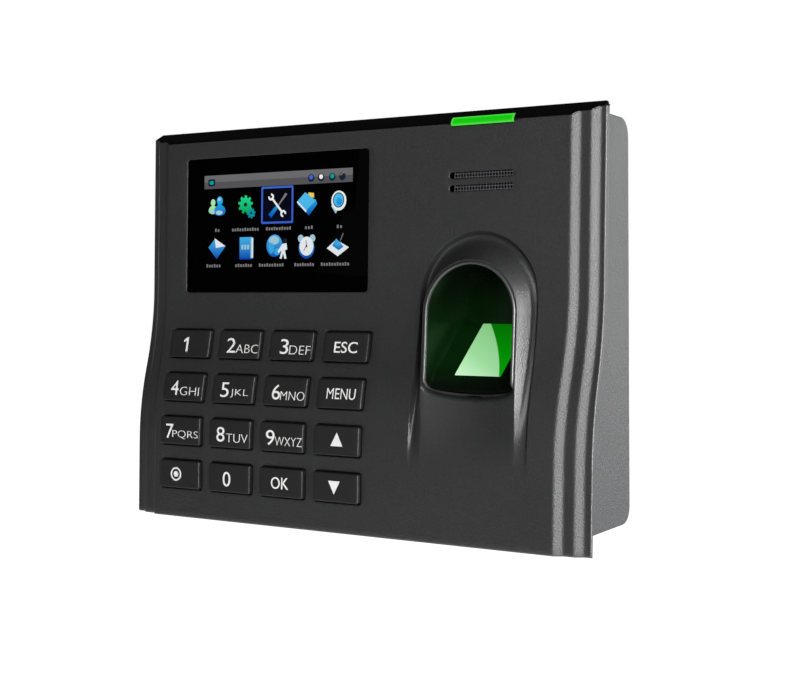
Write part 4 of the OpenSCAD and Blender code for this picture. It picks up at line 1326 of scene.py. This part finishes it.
def drafted_case():
    """The rear case with leaning sides, a higher top, a lower bottom, and rounds along its sides' edges."""
    o = rounded_copy("rear_case", 0.4, case_plastic, "terminal")
    low, high = box_mm("rear_case")
    bm = bmesh.new()
    bm.from_mesh(o.data)
    outline = []
    for e in bm.edges:
        a, b = (v.co / MM for v in e.verts)
        level = abs(a.z - b.z) < 0.1
        on_side = min(abs(a.x), abs(b.x)) > high.x - 0.02 and a.x * b.x > 0
        if on_side and (level or min(a.y, b.y) > low.y + 0.5):
            outline.append(e)
    for v in bm.verts:
        x, y, z = v.co / MM
        if abs(x) > high.x - CASE_DRAFT:
            lean = mix(CASE_DRAFT, -CASE_DRAFT, (z - low.z) / (high.z - low.z))
            v.co.x += math.copysign(1, x) * lean * MM
        v.co.z += CASE_TOP_UP * max(0.0, 1 - (high.z - z) / CASE_MOVED) * MM
        down = mix(*CASE_LOW_DOWN, (y - low.y) / (high.y - low.y))
        v.co.z -= down * max(0.0, 1 - (z - low.z) / CASE_MOVED) * MM
    bmesh.ops.bevel(bm, geom=outline, offset=CASE_ROUND * MM, segments=4, profile=0.5, affect="EDGES",
                    clamp_overlap=False)
    bm.to_mesh(o.data)
    bm.free()
    o.data.shade_smooth()


drafted_case()
rounded_copy("wall_plate", 0.25, zinc, "wall_plate", 2)

# The nodes that keep their CAD shape, by material
FINISH = {
    dark_plastic: "sensor_housing buzzer speaker power_jack tamper_switch",
    circuit_board: "sensor_camera_board sensor_led_board keypad_board main_board status_led_board",
    screw_metal: "lcd_screws keypad_screws main_board_screws case_screws lock_screw",
    window_black: "sensor_lens", led_clear: "sensor_leds status_leds", ribbon: "sensor_cable lcd_ribbon",
    panel_metal: "lcd_panel", zinc: "lcd_bracket", silicone: "keypad_mat", ivory: "board_connector",
    chip_black: "processor_chips", bright_can: "backup_battery", wire_red: "speaker_wires",
    tinned: "network_jack usb_port", terminal_green: "wiring_block", acetal: "tamper_plunger",
    brass: "lock_insert",
}
for material, nodes in FINISH.items():
    for node in nodes.split():
        for material_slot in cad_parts[node].material_slots:
            material_slot.material = material

# ---------------------------------------------------------------- stage, lights and camera

CAMERA = (272.87, -432.49, 1.04)
YAW, PITCH, ROLL = 32.09, -0.62, 0.67         # degrees
LENS = 63.57
FLOOR_SEEN, FLOOR_GLOW = 1.1, 0.2     # the floor's emission to the camera, and to every other ray
ROOM_GLOW = 0.012


def camera():
    yaw, pitch, roll = (math.radians(a) for a in (YAW, PITCH, ROLL))
    forward = Vector((-math.sin(yaw) * math.cos(pitch), math.cos(yaw) * math.cos(pitch), math.sin(pitch)))
    side = Vector((math.cos(yaw), math.sin(yaw), 0))
    up = side.cross(forward)
    right = side * math.cos(roll) + up * math.sin(roll)
    up = up * math.cos(roll) - side * math.sin(roll)
    data = bpy.data.cameras.new("camera")
    data.lens = LENS
    data.sensor_width = 36
    data.clip_start = 0.01
    o = add_object("camera", data)
    turn = Matrix((right, up, -forward)).transposed().to_4x4()
    o.matrix_world = Matrix.Translation(Vector(CAMERA) * MM) @ turn
    bpy.context.scene.camera = o


def softbox(name, azimuth, elevation, distance, size, watts):
    """A soft light aimed at the part. Azimuth 0 is straight in front of it, and 90 is to its right."""
    a, e = math.radians(azimuth), math.radians(elevation)
    at = Vector((math.sin(a) * math.cos(e), -math.cos(a) * math.cos(e), math.sin(e))) * distance
    data = bpy.data.lights.new(name, "AREA")
    data.shape = "RECTANGLE"
    data.size, data.size_y = size
    data.energy = watts
    o = add_object(name, data)
    o.location = at
    o.rotation_euler = (-at).to_track_quat("-Z", "Y").to_euler()


def stage():
    """A white floor, brighter to the camera than to the rays that light the part."""
    m, tree, shader = new_material("floor_paper")
    path = new_node(tree, "LightPath")
    glow = new_node(tree, "MapRange", {"To Min": FLOOR_GLOW, "To Max": FLOOR_SEEN,
                                       "Value": path.outputs["Is Camera Ray"]})
    feed(tree, shader, {
        "Base Color": grey_ramp(tree, noise(tree, 40, 2.0), 0.90, 0.92), "Roughness": 0.9,
        "Emission Color": (1, 1, 1), "Emission Strength": glow.outputs["Result"]})
    mesh = bpy.data.meshes.new("floor")
    level, front, back, half = -0.75, -1.5, 30.0, 30.0
    corners = [(-half, front, level), (half, front, level), (half, back, level), (-half, back, level)]
    mesh.from_pydata(corners, [], [(0, 1, 2, 3)])
    mesh.materials.append(m)
    add_object("floor", mesh)


def surroundings():
    """White behind the part, and dim grey all round for its reflections."""
    world = bpy.data.worlds.new("studio")
    world.use_nodes = True
    tree = world.node_tree
    seen = tree.nodes["Background"]
    feed(tree, seen, {"Color": (1, 1, 1)})
    dim = new_node(tree, "Background", {"Color": (1, 1, 1), "Strength": ROOM_GLOW})
    path = new_node(tree, "LightPath")
    both = new_node(tree, "MixShader", {"Fac": path.outputs["Is Camera Ray"], 1: dim.outputs["Background"],
                                        2: seen.outputs["Background"]})
    feed(tree, tree.nodes["World Output"], {"Surface": both.outputs["Shader"]})
    bpy.context.scene.world = world


camera()
stage()
surroundings()
softbox("right_strip", 45, 6, 1.5, (0.5, 1.5), 21)
softbox("right_side", 90, 5, 1.5, (0.7, 0.6), 46)
softbox("right_back", 122, 10, 1.4, (1.0, 1.5), 5)
softbox("front", -14, 10, 1.6, (0.8, 0.8), 1.4)
softbox("left_strip", -75, 0, 1.5, (0.5, 1.2), 0.5)
softbox("left_side", -125, -4, 1.6, (0.9, 0.8), 9)
softbox("back", 180, 8, 1.6, (1.2, 0.9), 14)
bpy.context.scene.view_settings.view_transform = "Standard"
